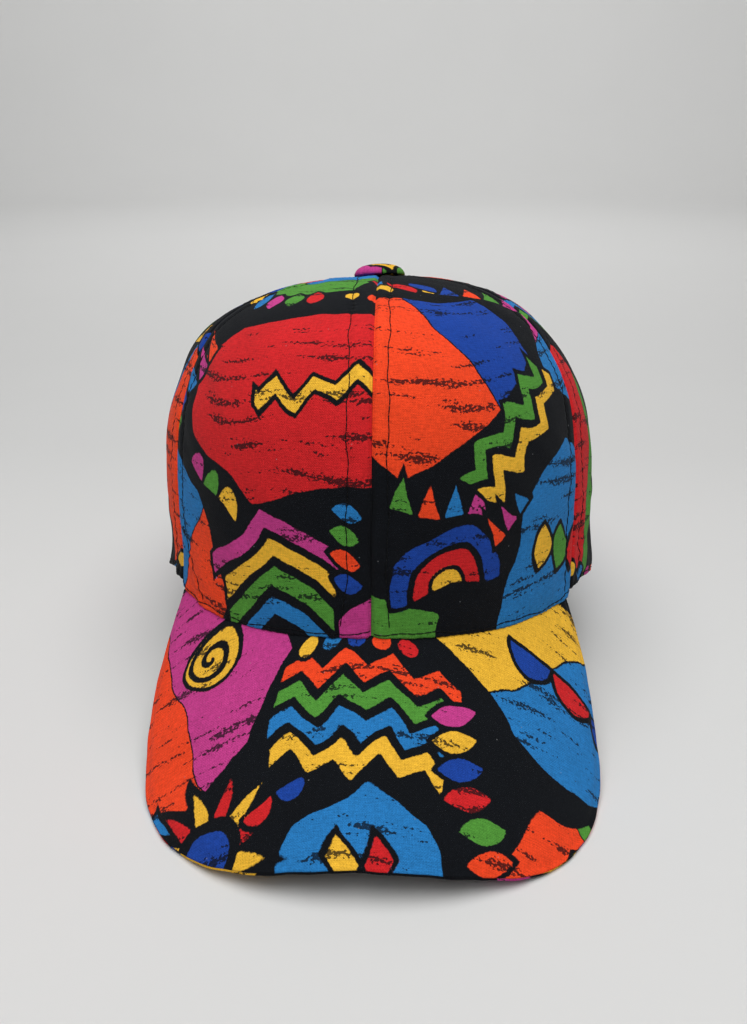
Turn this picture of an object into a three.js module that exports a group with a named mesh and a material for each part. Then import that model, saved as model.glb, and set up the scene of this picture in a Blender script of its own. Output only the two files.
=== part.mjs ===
// A six-panel peaked cap, lying on a flat surface as it does by itself: on the two front corners of
// its peak and on the back of its rim. Millimetres, +Z up, the peak towards -Y, the origin on the
// surface under the middle of the cap's box.
import * as THREE from 'three';

// Driving sizes of the crown. Angles are in degrees from the middle of the front, positive towards +X.
const CROWN_HEIGHT = 121.7;
const CROWN_TILT = 15.6;
const TOP_SETBACK = 0.9;
const TOP_SIDE_LEAN = 0.03;
const TOP_SIDE_SHIFT = 0.9;
const TOP_SHARPNESS = 8;
const RIM_LIFT = 1.5;
const WALL = 1.8;
const PIECE_GAP = 0.3;

// How the crown reaches out from its axis to the front, the sides and the back. At a height h, from
// 0 at the rim to 1 at the top, it is (reach + lean h) (1 - h^shoulder)^(1 / roundness).
const PROFILES = {
  front: { reach: 98.2, lean: 9.3, shoulder: 4.4, roundness: 1.75 },
  side: { reach: 86.8, lean: 3.6, shoulder: 4.5, roundness: 2.2 },
  back: { reach: 98.2, lean: 2, shoulder: 3, roundness: 2.1 },
};

// The seams' angles at the rim and at the top, and how far each seam pulls the cloth in.
const SEAMS = [
  { name: 'front', atRim: 0, atTop: 0, pull: 0.5 },
  { name: 'right_front', atRim: 57.5, atTop: 60, pull: 0.9 },
  { name: 'right_back', atRim: 119, atTop: 120, pull: 1.2 },
  { name: 'back', atRim: 180, atTop: 180, pull: 1.2 },
  { name: 'left_back', atRim: 241, atTop: 240, pull: 1.2 },
  { name: 'left_front', atRim: 302.5, atTop: 300, pull: 0.9 },
];
const SEAM_PULL_SHARPNESS = 6;

// Swellings and folds of the cloth: the angle and height of each one's middle, how far it reaches
// in degrees and in height, how much it stands out (+) or sinks in (-), and how it slants.
const FOLDS = [
  { name: 'right_low_swell', angle: 78, height: 0.12, wide: 26, tall: 0.22, out: 2.8, slant: 0 },
  { name: 'right_middle_swell', angle: 75, height: 0.45, wide: 30, tall: 0.25, out: 1.7, slant: 0 },
  { name: 'left_middle_swell', angle: -75, height: 0.45, wide: 30, tall: 0.25, out: 0.3, slant: 0 },
  { name: 'right_high_hollow', angle: 90, height: 0.8, wide: 50, tall: 0.16, out: -2.3, slant: 0 },
  { name: 'left_high_hollow', angle: -78, height: 0.66, wide: 34, tall: 0.08, out: -1.6, slant: 0 },
  { name: 'left_shoulder_swell', angle: -76, height: 0.84, wide: 34, tall: 0.06, out: 1.3, slant: 0 },
  { name: 'left_rim_swell', angle: -76, height: -0.02, wide: 20, tall: 0.07, out: 1.5, slant: 0 },
  { name: 'right_rim_swell', angle: 76, height: 0.03, wide: 20, tall: 0.11, out: 2.8, slant: 0 },
  { name: 'right_crease_one', angle: 66, height: 0.05, wide: 5, tall: 0.2, out: -1.3, slant: 16 },
  { name: 'right_crease_two', angle: 80, height: 0.02, wide: 5, tall: 0.24, out: -1.6, slant: -12 },
  { name: 'right_crease_three', angle: 97, height: 0.04, wide: 6, tall: 0.18, out: -1.3, slant: 20 },
  { name: 'left_crease_one', angle: -67, height: 0.04, wide: 5, tall: 0.2, out: -1.4, slant: -14 },
  { name: 'left_crease_two', angle: -82, height: 0.02, wide: 6, tall: 0.24, out: -1.6, slant: 14 },
  { name: 'left_crease_three', angle: -99, height: 0.05, wide: 6, tall: 0.16, out: -1.2, slant: -18 },
  { name: 'back_sag_right', angle: 150, height: 0.34, wide: 16, tall: 0.14, out: -1.8, slant: 30 },
  { name: 'back_sag_left', angle: -152, height: 0.3, wide: 15, tall: 0.13, out: -1.6, slant: -34 },
];
const FOLD_FADE = 6;

// The peak is a sheet that falls away from the crown and is bent down at its sides. Its top face is
// at a height seat - tan(slope) d - archDrop (x / archHalfSpan)^2, d in front of the rim's plane, and
// bends up softly to stay above lowestTop, where its corners lie on the surface.
const PEAK = {
  seat: 49.1,
  slope: 28.9,
  archDrop: 35.35,
  archHalfSpan: 80,
  length: 76.7,
  halfWidth: { left: 78.9, right: 79.5 },
  lowestTop: 1.9,
  contactSoftness: 1.2,
  widestAt: -2.8,
  cornerFullness: { left: 2.53, right: 2.72 },
  endAngle: 57,
  endFlare: 1.2,
  thickness: 3,
  edgeRounding: 1,
  fanCentre: -45,
};

// The rim's lower edge, below (+) or above (-) the rim's plane, away from the peak.
const RIM_SIDE_ANGLE = 86;
const RIM_SIDE_DROP = -1.5;
const RIM_BACK_ANGLE = 150;
const RIM_BACK_DROP = 3.4;
const EDGE_FADE = 0.28;
const EDGE_CLEARANCE = 0.45;

// The covered button: radius and height of each step of its outline, from its base to its middle.
const BUTTON_OUTLINE = [
  { radius: 0, height: 0 },
  { radius: 9.2, height: 0 },
  { radius: 10.1, height: 0.7 },
  { radius: 10.4, height: 1.7 },
  { radius: 10.1, height: 2.8 },
  { radius: 9.1, height: 3.7 },
  { radius: 7.2, height: 4.4 },
  { radius: 4.2, height: 4.9 },
  { radius: 0, height: 5.1 },
];
const BUTTON_CLEARANCE = 0.35;

// How finely the solids are divided.
const PANEL_ROWS = 20;
const PANEL_COLUMNS = { front: 14, side: 16, back: 14 };
const PEAK_ROWS = 8;
const PEAK_COLUMNS = 40;
const BUTTON_SEGMENTS = 28;
const TIP_SHARE = 0.994;
const OUTLINE_STEPS = 600;
const FRONT_SHARE = 0.7;

const toRadians = THREE.MathUtils.degToRad;
const tilt = toRadians(CROWN_TILT);
const peakFall = Math.tan(toRadians(PEAK.slope));

function wrapDegrees(angle) {
  return THREE.MathUtils.euclideanModulo(angle + 180, 360) - 180;
}

// Distance out from the axis along one profile, less the inset of an inner face.
function reachAt({ reach, lean, shoulder, roundness }, height, inset) {
  const rounding = Math.max(0, 1 - height ** shoulder) ** (1 / roundness);
  return (reach - inset + lean * height) * rounding;
}

function seamAngle(seam, height) {
  return THREE.MathUtils.lerp(seam.atRim, seam.atTop, height);
}

// The cloth is pulled in at the seams on both sides of an angle.
function seamPull(angle, height) {
  const turned = THREE.MathUtils.euclideanModulo(angle, 360);
  let pull = 0;
  SEAMS.forEach((seam, index) => {
    const next = SEAMS[(index + 1) % SEAMS.length];
    const from = seamAngle(seam, height);
    const to = seamAngle(next, height) || 360;
    if (turned < from || turned > to) return;
    const across = (2 * (turned - from)) / (to - from) - 1;
    const nearest = across < 0 ? seam : next;
    pull = nearest.pull * Math.abs(across) ** SEAM_PULL_SHARPNESS;
  });
  return pull;
}

function foldsAt(angle, height) {
  const folds = FOLDS.reduce((sum, fold) => {
    const middle = fold.angle + fold.slant * (height - fold.height);
    const aside = wrapDegrees(angle - middle) / fold.wide;
    const above = (height - fold.height) / fold.tall;
    return sum + fold.out * Math.exp(-aside * aside - above * above);
  }, 0);
  return (folds - seamPull(angle, height)) * (1 - height ** FOLD_FADE);
}

// From the crown's own axes, with `up` above the rim's plane, to the tilted cap on its surface.
function rest(x, y, up) {
  const fromBack = y - PROFILES.back.reach;
  return new THREE.Vector3(
    x,
    fromBack * Math.cos(tilt) + up * Math.sin(tilt) + PROFILES.back.reach,
    -fromBack * Math.sin(tilt) + up * Math.cos(tilt) + RIM_LIFT,
  );
}

// A point on the crown in its own axes: the outer face at inset 0, the inner at the wall's thickness.
function crownPlan(angle, height, inset) {
  const turn = toRadians(angle);
  const ahead = Math.cos(turn) > 0 ? PROFILES.front : PROFILES.back;
  const out = foldsAt(angle, height);
  const x = (reachAt(PROFILES.side, height, inset) + out) * Math.sin(turn);
  const y = -(reachAt(ahead, height, inset) + out) * Math.cos(turn) + TOP_SETBACK * height;
  const nearTop = height ** TOP_SHARPNESS;
  const up = (CROWN_HEIGHT - inset) * height + TOP_SIDE_LEAN * x * nearTop;
  return { x: x + TOP_SIDE_SHIFT * nearTop, y, up };
}

const frontOfRim = rest(0, -PROFILES.front.reach, 0).y;

function freePeakTop(x, y) {
  return PEAK.seat - peakFall * (frontOfRim - y) - PEAK.archDrop * (x / PEAK.archHalfSpan) ** 2;
}

function peakTop(x, y) {
  const above = freePeakTop(x, y) - PEAK.lowestTop;
  return PEAK.lowestTop + (above + Math.hypot(above, PEAK.contactSoftness)) / 2;
}

// How far below the rim's plane a straight wall under (x, y) meets the peak's top face.
function dropToPeak({ x, y }) {
  const foot = rest(x, y, 0);
  return (foot.z - freePeakTop(foot.x, foot.y)) / (Math.cos(tilt) - peakFall * Math.sin(tilt));
}

// The lower edge's drop below the rim's plane: on the peak in front, then in one smooth sweep over
// the side and down to the surface at the back.
function lowerEdgeDrop(angle, inset) {
  const away = Math.abs(wrapDegrees(angle));
  const side = Math.sign(wrapDegrees(angle)) || 1;
  const dropAt = (a) => dropToPeak(crownPlan(side * a, 0, inset)) - EDGE_CLEARANCE;
  if (away <= PEAK.endAngle) return dropAt(away);
  if (away <= RIM_SIDE_ANGLE) {
    const span = RIM_SIDE_ANGLE - PEAK.endAngle;
    const t = (away - PEAK.endAngle) / span;
    const end = dropAt(PEAK.endAngle);
    const slope = (end - dropAt(PEAK.endAngle - 1)) * span;
    const fromEnd = (1 + 2 * t) * (1 - t) ** 2;
    return end * fromEnd + slope * t * (1 - t) ** 2 + RIM_SIDE_DROP * (1 - fromEnd);
  }
  const back = THREE.MathUtils.smoothstep(away, RIM_SIDE_ANGLE, RIM_BACK_ANGLE);
  return THREE.MathUtils.lerp(RIM_SIDE_DROP, RIM_BACK_DROP, back);
}

// Rows that are evenly spaced from the rim, at share 0, over the shoulder to the top, at share 1.
function heightAt(share) {
  return Math.sin((share * Math.PI) / 2);
}

// A point of a panel, its lower edge at share 0. Where the edge would pass the surface that the cap
// rests on, the cloth is flattened on it.
function crownPoint(angle, share, inset) {
  const { x, y, up } = crownPlan(angle, heightAt(share), inset);
  const fade = Math.max(0, 1 - share / EDGE_FADE) ** 2;
  const point = rest(x, y, up - lowerEdgeDrop(angle, inset) * fade);
  point.z = Math.max(0, point.z);
  return point;
}

// Joins closed loops of points, one after another, into a solid with both ends closed. Each loop
// runs out along one face and back along the other, so that its ends close as a ladder.
function solidFromLoops(loops) {
  const around = loops[0].length;
  const positions = loops.flat().flatMap((point) => point.toArray());
  const triangles = [];
  const quad = (a, b, c, d) => triangles.push([a, b, c], [a, c, d]);
  for (let row = 0; row + 1 < loops.length; row += 1) {
    for (let i = 0; i < around; i += 1) {
      const next = (i + 1) % around;
      const here = row * around;
      const there = here + around;
      quad(here + i, there + i, there + next, here + next);
    }
  }
  [0, (loops.length - 1) * around].forEach((start) => {
    const isFirst = start === 0;
    for (let i = 0; 2 * i + 2 < around; i += 1) {
      const rung = [start + i, start + i + 1, start + around - 2 - i, start + around - 1 - i];
      const corners = rung[1] === rung[2] ? [rung[0], rung[1], rung[3]] : rung;
      const turned = isFirst ? corners : corners.reverse();
      for (let k = 1; k + 1 < turned.length; k += 1) {
        triangles.push([turned[0], turned[k], turned[k + 1]]);
      }
    }
  });
  const geometry = new THREE.BufferGeometry();
  geometry.setAttribute('position', new THREE.Float32BufferAttribute(positions, 3));
  geometry.setIndex(facesOut(positions, triangles).flat());
  geometry.computeVertexNormals();
  return geometry;
}

// Turns all the triangles round if they face inwards, which a negative volume shows.
function facesOut(positions, triangles) {
  const corner = (index) => new THREE.Vector3().fromArray(positions, 3 * index);
  const volume = triangles.reduce((sum, [a, b, c]) => sum + corner(a).dot(corner(b).cross(corner(c))), 0);
  return volume < 0 ? triangles.map(([a, b, c]) => [a, c, b]) : triangles;
}

function cloth(name, geometry, color, roughness = 0.85) {
  const mesh = new THREE.Mesh(geometry, new THREE.MeshStandardMaterial({ color, roughness, metalness: 0 }));
  mesh.name = name;
  return mesh;
}

// One gore of the crown between two seams, a shell as thick as the cloth, half a gap off each seam.
function panel(name, seam, nextSeam, columns, color) {
  const loops = [];
  for (let column = 0; column <= columns; column += 1) {
    const across = column / columns;
    const side = (inset) => {
      const points = [];
      for (let row = 0; row <= PANEL_ROWS; row += 1) {
        const share = (TIP_SHARE * row) / PANEL_ROWS;
        const height = heightAt(share);
        const from = seamAngle(seam, height);
        const to = seamAngle(nextSeam, height) || 360;
        const { x, y } = crownPlan((from + to) / 2, height, inset);
        const fromAxis = Math.hypot(x - TOP_SIDE_SHIFT * height ** TOP_SHARPNESS, y - TOP_SETBACK * height);
        const gap = THREE.MathUtils.radToDeg(PIECE_GAP / 2 / fromAxis);
        points.push(crownPoint(THREE.MathUtils.lerp(from + gap, to - gap, across), share, inset));
      }
      return points;
    };
    loops.push([...side(0), ...side(WALL).reverse()]);
  }
  return cloth(name, solidFromLoops(loops), color);
}

// The peak's outline seen from above, from its left end round the front to its right end: a side that
// eases out to the widest place, then a rounded corner, and the same on the other side.
class PeakOutline extends THREE.Curve {
  constructor(end) {
    super();
    this.end = end;
    this.arcLengthDivisions = OUTLINE_STEPS;
  }

  getPoint(t, target = new THREE.Vector3()) {
    const side = t < 0.5 ? -1 : 1;
    const halfWidth = side < 0 ? PEAK.halfWidth.left : PEAK.halfWidth.right;
    const alongHalf = Math.abs(2 * t - 1);
    const reach = PEAK.length * Math.cos(toRadians(PEAK.slope));
    if (alongHalf < FRONT_SHARE) {
      const turn = (alongHalf / FRONT_SHARE) * (Math.PI / 2);
      const power = 2 / (side < 0 ? PEAK.cornerFullness.left : PEAK.cornerFullness.right);
      const x = halfWidth * Math.sin(turn) ** power;
      const ahead = PEAK.widestAt + (reach - PEAK.widestAt) * Math.cos(turn) ** power;
      return target.set(side * x, frontOfRim - ahead, 0);
    }
    const back = (alongHalf - FRONT_SHARE) / (1 - FRONT_SHARE);
    const x = halfWidth - (halfWidth - this.end.x) * back ** 2;
    const y = THREE.MathUtils.lerp(frontOfRim - PEAK.widestAt, this.end.y, back);
    return target.set(side * x, y, 0);
  }
}

function onPeakTop(x, y) {
  return new THREE.Vector3(x, y, peakTop(x, y));
}

// A point of the peak's top face moved square to it, down into the sheet.
function belowPeakTop(point, depth) {
  const slopeX = (-2 * PEAK.archDrop * point.x) / PEAK.archHalfSpan ** 2;
  const normal = new THREE.Vector3(-slopeX, -peakFall, 1).normalize();
  const moved = point.clone().addScaledVector(normal, -depth);
  moved.z = Math.max(0, moved.z);
  return moved;
}

// Where the plain wall of the rim, without its folds, stands on the peak's top face.
function peakSeat(angle, inset) {
  const turn = toRadians(angle);
  const x = (PROFILES.side.reach - inset) * Math.sin(turn);
  const y = -(PROFILES.front.reach - inset) * Math.cos(turn);
  const foot = rest(x, y, -dropToPeak({ x, y }));
  return onPeakTop(foot.x, foot.y);
}

// The peak fans out from the inside of the rim to its outline, with a rounded edge.
function peak(color) {
  const outline = new PeakOutline(peakSeat(PEAK.endAngle, -PEAK.endFlare));
  const centre = new THREE.Vector3(0, frontOfRim - PEAK.fanCentre, 0);
  const loops = [];
  for (let column = 0; column <= PEAK_COLUMNS; column += 1) {
    const across = column / PEAK_COLUMNS;
    const seat = peakSeat(THREE.MathUtils.lerp(-PEAK.endAngle, PEAK.endAngle, across), WALL);
    const edge = outline.getPointAt(across);
    const inwards = centre.clone().sub(edge).setLength(PEAK.edgeRounding);
    const rim = edge.clone().add(inwards);
    const top = [];
    for (let row = 0; row <= PEAK_ROWS; row += 1) {
      const out = row / PEAK_ROWS;
      top.push(onPeakTop(THREE.MathUtils.lerp(seat.x, rim.x, out), THREE.MathUtils.lerp(seat.y, rim.y, out)));
    }
    const middle = belowPeakTop(onPeakTop(edge.x, edge.y), PEAK.thickness / 2);
    const under = top.map((point) => belowPeakTop(point, PEAK.thickness)).reverse();
    loops.push([...top, middle, ...under]);
  }
  return cloth('peak', solidFromLoops(loops), color);
}

// A flat dome turned about the crown's own axis at its top.
function button(color) {
  const outline = BUTTON_OUTLINE.map(({ radius, height }) => new THREE.Vector2(radius, height));
  const mesh = cloth('button', new THREE.LatheGeometry(outline, BUTTON_SEGMENTS), color);
  mesh.position.copy(rest(TOP_SIDE_SHIFT, TOP_SETBACK, CROWN_HEIGHT + BUTTON_CLEARANCE));
  mesh.rotation.set(Math.PI / 2 - tilt, 0, TOP_SIDE_LEAN);
  return mesh;
}

const [front, rightFront, rightBack, back, leftBack, leftFront] = SEAMS;
const cap = new THREE.Group();
cap.add(
  panel('panel_front_right', front, rightFront, PANEL_COLUMNS.front, '#c8452a'),
  panel('panel_side_right', rightFront, rightBack, PANEL_COLUMNS.side, '#b98a34'),
  panel('panel_back_right', rightBack, back, PANEL_COLUMNS.back, '#2f6fae'),
  panel('panel_back_left', back, leftBack, PANEL_COLUMNS.back, '#8c3a72'),
  panel('panel_side_left', leftBack, leftFront, PANEL_COLUMNS.side, '#3f7a34'),
  panel('panel_front_left', leftFront, front, PANEL_COLUMNS.front, '#a8242a'),
  button('#b03c84'),
  peak('#24406f'),
);

// The origin goes under the middle of the whole cap's box.
const box = new THREE.Box3().setFromObject(cap);
const middle = box.getCenter(new THREE.Vector3());
cap.position.set(-middle.x, -middle.y, 0);

export default cap;
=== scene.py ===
"""A six-panel peaked cap of printed cotton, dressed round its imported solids, on a plain pale studio floor.

The file is laid out as an add-on. Property groups hold the sizes and colours that a user would change,
each operator makes one piece or one group of like pieces, and a panel in the 3D view's sidebar lists them.
Shapes are worked out in millimetres in the part's own frame and are put into their meshes in metres.
"""

import math
from itertools import chain

import bpy
import numpy as np
from mathutils import Matrix, Vector


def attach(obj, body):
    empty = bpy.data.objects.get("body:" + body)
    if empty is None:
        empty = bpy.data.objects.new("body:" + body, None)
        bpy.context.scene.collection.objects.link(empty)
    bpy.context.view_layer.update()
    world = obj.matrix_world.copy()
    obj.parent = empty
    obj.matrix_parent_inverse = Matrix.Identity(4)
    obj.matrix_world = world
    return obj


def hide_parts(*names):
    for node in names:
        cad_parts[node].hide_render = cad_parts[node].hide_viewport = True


bl_info = {
    "name": "Six-panel peaked cap",
    "version": (1, 0, 0),
    "blender": (4, 5, 0),
    "location": "3D View > Sidebar > Cap",
    "description": "Makes the cloth panels, button, peak and stitches of a printed cotton cap",
    "category": "Object",
}

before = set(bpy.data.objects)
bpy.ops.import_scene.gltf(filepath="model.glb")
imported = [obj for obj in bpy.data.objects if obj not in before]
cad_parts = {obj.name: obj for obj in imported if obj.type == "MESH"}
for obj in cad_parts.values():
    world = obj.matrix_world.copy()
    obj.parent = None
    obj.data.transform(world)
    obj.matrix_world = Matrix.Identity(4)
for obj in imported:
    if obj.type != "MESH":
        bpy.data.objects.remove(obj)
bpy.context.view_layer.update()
MM = 0.001
FULL_TURN = 360.0
HALF_TURN = 180.0
QUARTER_TURN = 90.0
TINY = 1e-9

# The crown's driving sizes, the same as the solids': angles in degrees from the middle of the front.
CROWN_HEIGHT = 121.7
CROWN_TILT = math.radians(15.6)
TOP_SETBACK = 0.9
TOP_SIDE_LEAN = 0.03
TOP_SIDE_SHIFT = 0.9
TOP_SHARPNESS = 8
RIM_LIFT = 1.5
ORIGIN_SHIFT = np.array([-1.5288, 24.0572, 0.0])

# How far the crown reaches out from its axis in front, at the sides and at the back.
# Columns: reach, lean, shoulder, roundness.
PROFILES = {
    "front": (98.2, 9.3, 4.4, 1.75),
    "side": (86.8, 3.6, 4.5, 2.2),
    "back": (98.2, 2.0, 3.0, 2.1),
}
FRONT_REACH = PROFILES["front"][0]
SIDE_REACH = PROFILES["side"][0]
BACK_REACH = PROFILES["back"][0]

# Columns: angle at the rim, angle at the top, how far the seam pulls the cloth in.
SEAMS = (
    (0.0, 0.0, 0.5),
    (57.5, 60.0, 0.9),
    (119.0, 120.0, 1.2),
    (180.0, 180.0, 1.2),
    (241.0, 240.0, 1.2),
    (302.5, 300.0, 0.9),
    (360.0, 360.0, 0.5),
)
SEAM_PULL_SHARPNESS = 6

# The solids' swellings and folds. Columns: angle, height, wide, tall, out, slant.
FOLDS = (
    (78, 0.12, 26, 0.22, 2.8, 0),
    (75, 0.45, 30, 0.25, 1.7, 0),
    (-75, 0.45, 30, 0.25, 0.3, 0),
    (90, 0.8, 50, 0.16, -2.3, 0),
    (-78, 0.66, 34, 0.08, -1.6, 0),
    (-76, 0.84, 34, 0.06, 1.3, 0),
    (-76, -0.02, 20, 0.07, 1.5, 0),
    (76, 0.03, 20, 0.11, 2.8, 0),
    (66, 0.05, 5, 0.2, -1.3, 16),
    (80, 0.02, 5, 0.24, -1.6, -12),
    (97, 0.04, 6, 0.18, -1.3, 20),
    (-67, 0.04, 5, 0.2, -1.4, -14),
    (-82, 0.02, 6, 0.24, -1.6, 14),
    (-99, 0.05, 6, 0.16, -1.2, -18),
    (150, 0.34, 16, 0.14, -1.8, 30),
    (-152, 0.3, 15, 0.13, -1.6, -34),
)
FOLD_FADE = 6

# Small creases that only the looks have, with the same columns.
FINE_CREASES = (
    (61, 0.1, 1.6, 0.1, -0.6, 14),
    (64, 0.2, 2.2, 0.12, 0.5, -16),
    (71, 0.1, 2.0, 0.13, -0.8, -10),
    (76, 0.3, 2.2, 0.13, -1.1, 90),
    (80, 0.31, 3.2, 0.14, 0.6, 90),
    (87, 0.12, 2.4, 0.12, -0.9, 12),
    (92, 0.26, 3.0, 0.12, 0.6, -20),
    (104, 0.12, 2.6, 0.14, -0.8, -14),
    (-60.5, 0.08, 1.5, 0.09, -0.6, -16),
    (-63, 0.2, 2.0, 0.12, 0.5, 14),
    (-72, 0.1, 2.2, 0.14, -0.8, 12),
    (-76, 0.27, 2.2, 0.13, -1.0, -80),
    (-80, 0.28, 3.2, 0.14, 0.5, -80),
    (-88, 0.1, 2.4, 0.13, -0.9, -10),
    (-94, 0.24, 3.0, 0.12, 0.6, 18),
    (-108, 0.12, 2.6, 0.14, -0.7, 14),
    (-51, 0.06, 1.8, 0.07, -0.35, -20),
    (-46, 0.1, 2.4, 0.1, 0.25, 24),
    (50, 0.06, 1.8, 0.08, -0.3, 20),
    (5.5, 0.0, 1.3, 0.04, -0.4, -12),
    (-5, 0.0, 1.2, 0.04, -0.4, 10),
    (-8.5, 0.0, 1.4, 0.035, 0.35, 0),
    (9, 0.0, 1.5, 0.04, 0.3, 0),
    (134, 0.3, 5.0, 0.2, -0.8, 24),
    (163, 0.16, 4.0, 0.16, -0.7, -20),
    (-137, 0.26, 5.0, 0.2, -0.8, -26),
    (-166, 0.2, 4.0, 0.16, -0.7, 18),
)

# The peak: a sheet that falls away from the crown and is bent down at its sides.
PEAK_SEAT = 49.1
PEAK_FALL = math.tan(math.radians(28.9))
PEAK_LENGTH = 76.7
PEAK_ARCH = 35.35
PEAK_ARCH_SPAN = 80.0
PEAK_WIDTHS = (78.9, 79.5)
PEAK_FULLNESS = (2.53, 2.72)
PEAK_LOWEST = 1.9
PEAK_SOFTNESS = 1.2
PEAK_WIDEST_AT = -2.8
PEAK_FRONT_SHARE = 0.7
PEAK_END_ANGLE = 57.0
PEAK_END_FLARE = 1.2
PEAK_FAN_CENTRE = -45.0
# The top cover rolls over the board's edge and meets the under cover in a seam, at an angle of the edge's
# half circle. The under cover is cut from the same cloth, turned half round about a point up its middle.
PEAK_ROLL = 0.95
PEAK_ROLL_WIDTH = 2.3
PEAK_SEAM_ANGLE = math.radians(62)
PEAK_SEAM_WIDTH = math.radians(5)
PEAK_SEAM_DEPTH = 0.3
PEAK_SEAM_STEPS = 4
UNDER_COVER_TURN = 24.0
# The slight waves of the peak's sewn outline. Columns: number of waves along it, size.
PEAK_EDGE_WAVES = ((7, 0.16), (17, 0.1), (31, 0.05))
OUTLINE_STEPS = 600

# The rim's lower edge away from the peak.
RIM_SIDE_ANGLE = 86.0
RIM_SIDE_DROP = -1.5
RIM_BACK_ANGLE = 150.0
RIM_BACK_DROP = 3.4
EDGE_FADE = 0.28

# How finely the pieces are divided. The outer rows are a whole number of times the inner rows.
INNER_ROWS = 32
OUTER_PER_INNER = 7
OUTER_ROWS = INNER_ROWS * OUTER_PER_INNER
HEM_STEPS = 8
EDGE_COLUMNS = 9
MIDDLE_COLUMNS = 128
EDGE_ZONE = 0.026
TIP_SHARE = 0.994
PEAK_COLUMNS = 330
PEAK_TOP_ROWS = 104
PEAK_EDGE_STEPS = 11
BUTTON_SECTORS = 120


def linear(hex_colour):
    """An sRGB hex colour as linear red, green, blue and full alpha, by sRGB's own formula."""
    values = [int(hex_colour[i : i + 2], 16) / 255 for i in (1, 3, 5)]
    curved = [v / 12.92 if v <= 0.04045 else ((v + 0.055) / 1.055) ** 2.4 for v in values]
    return (*curved, 1.0)


def colour_property(name, description, hex_colour):
    """A colour that a user may change, from its hex value."""
    return bpy.props.FloatVectorProperty(
        name=name, description=description, default=linear(hex_colour), size=4, subtype="COLOR", min=0, max=1
    )


def length_property(name, description, default):
    """A length that a user may change, from its millimetres."""
    return bpy.props.FloatProperty(
        name=name, description=description, default=default * MM, min=0, precision=5, unit="LENGTH"
    )


def power_property(name, description, default):
    """A light's power that a user may change, in watts."""
    return bpy.props.FloatProperty(name=name, description=description, default=default, min=0, unit="POWER")


class CapSizes(bpy.types.PropertyGroup):
    """Sizes of the cloth, its seams and its thread."""

    wall: length_property("Wall", "Thickness of the printed cotton with its backing", 1.8)
    peak_thickness: length_property("Peak thickness", "Board between two layers of cloth", 3.0)
    seam_depth: length_property("Seam depth", "How deep the cloth rolls in at a seam", 0.95)
    seam_stitch_inset: length_property("Seam stitch inset", "From a seam to its topstitching", 6.6)
    hem_stitch_inset: length_property("Hem stitch inset", "From the lower edge to its topstitching", 2.2)
    stitch_length: length_property("Stitch length", "From one needle hole to the next", 2.9)
    thread_width: length_property("Thread width", "Thickness of the sewing thread", 0.38)


class CapColours(bpy.types.PropertyGroup):
    """Inks of the print, the thread and the studio floor."""

    ground: colour_property("Ground", "Near-black dye between the printed shapes", "#0d1015")
    red: colour_property("Red", "Printed red", "#d12428")
    orange: colour_property("Orange", "Printed orange", "#f34822")
    sky: colour_property("Light blue", "Printed light blue", "#277abd")
    royal: colour_property("Royal blue", "Printed royal blue", "#1b439d")
    yellow: colour_property("Yellow", "Printed yellow", "#f1ba38")
    green: colour_property("Green", "Printed green", "#519338")
    magenta: colour_property("Magenta", "Printed magenta", "#c43e8a")
    thread: colour_property("Thread", "Dark polyester sewing thread", "#08090b")
    floor: colour_property("Floor", "Pale paper that the cap lies on", "#d9d9d8")


class CapStudio(bpy.types.PropertyGroup):
    """Strengths of the studio's lights."""

    top_power: power_property("Top light", "Large soft light overhead", 14.7)
    front_power: power_property("Front light", "Soft light high in front", 3.9)
    back_power: power_property("Back light", "Light on the paper behind", 27.0)
    surround: bpy.props.FloatProperty(
        name="Surround", description="Brightness of the room", default=0.03, min=0
    )


def lerp(start, end, share):
    """start + (end - start) share."""
    return start + (end - start) * share


def smooth_step(share):
    """3 s^2 - 2 s^3, with the share s held between 0 and 1."""
    share = np.clip(share, 0, 1)
    return share * share * (3 - 2 * share)


def hump(distance, width):
    """A bell curve, exp(-(distance / width)^2)."""
    return np.exp(-((distance / width) ** 2))


def wrap_degrees(angle):
    """An angle as the same one between -180 and 180 degrees."""
    return np.mod(angle + HALF_TURN, FULL_TURN) - HALF_TURN


def reach_at(profile, height, inset):
    """(reach - inset + lean h) (1 - h^shoulder)^(1 / roundness), at a height h from 0 at the rim to 1."""
    reach, lean, shoulder, roundness = PROFILES[profile]
    return (reach - inset + lean * height) * np.clip(1 - height**shoulder, 0, 1) ** (1 / roundness)


def seam_pull(angle, height):
    """The pull of the nearer seam, times the distance from the panel's middle to the sixth power."""
    turned = np.mod(angle, FULL_TURN)
    pull = np.zeros(np.broadcast(angle, height).shape)
    for (rim, top, own), (next_rim, next_top, other) in zip(SEAMS, SEAMS[1:]):
        start = lerp(rim, top, height)
        end = lerp(next_rim, next_top, height)
        across = 2 * (turned - start) / (end - start) - 1
        here = np.where(across < 0, own, other) * np.abs(across) ** SEAM_PULL_SHARPNESS
        pull = np.where(np.abs(across) <= 1, here, pull)
    return pull


def folds_at(angle, height, folds):
    """The sum of the folds, each a bell curve across its angle and its height, slanting as it rises."""
    total = 0.0
    for middle, level, wide, tall, out, slant in folds:
        aside = wrap_degrees(angle - middle - slant * (height - level)) / wide
        total = total + out * np.exp(-(aside**2) - ((height - level) / tall) ** 2)
    return total * (1 - height**FOLD_FADE)


def rest(x, y, up):
    """From the crown's own axes to the cap on its surface: a tilt about the back of the rim."""
    from_back = y - BACK_REACH
    return (
        x,
        from_back * math.cos(CROWN_TILT) + up * math.sin(CROWN_TILT) + BACK_REACH,
        -from_back * math.sin(CROWN_TILT) + up * math.cos(CROWN_TILT) + RIM_LIFT,
    )


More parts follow.
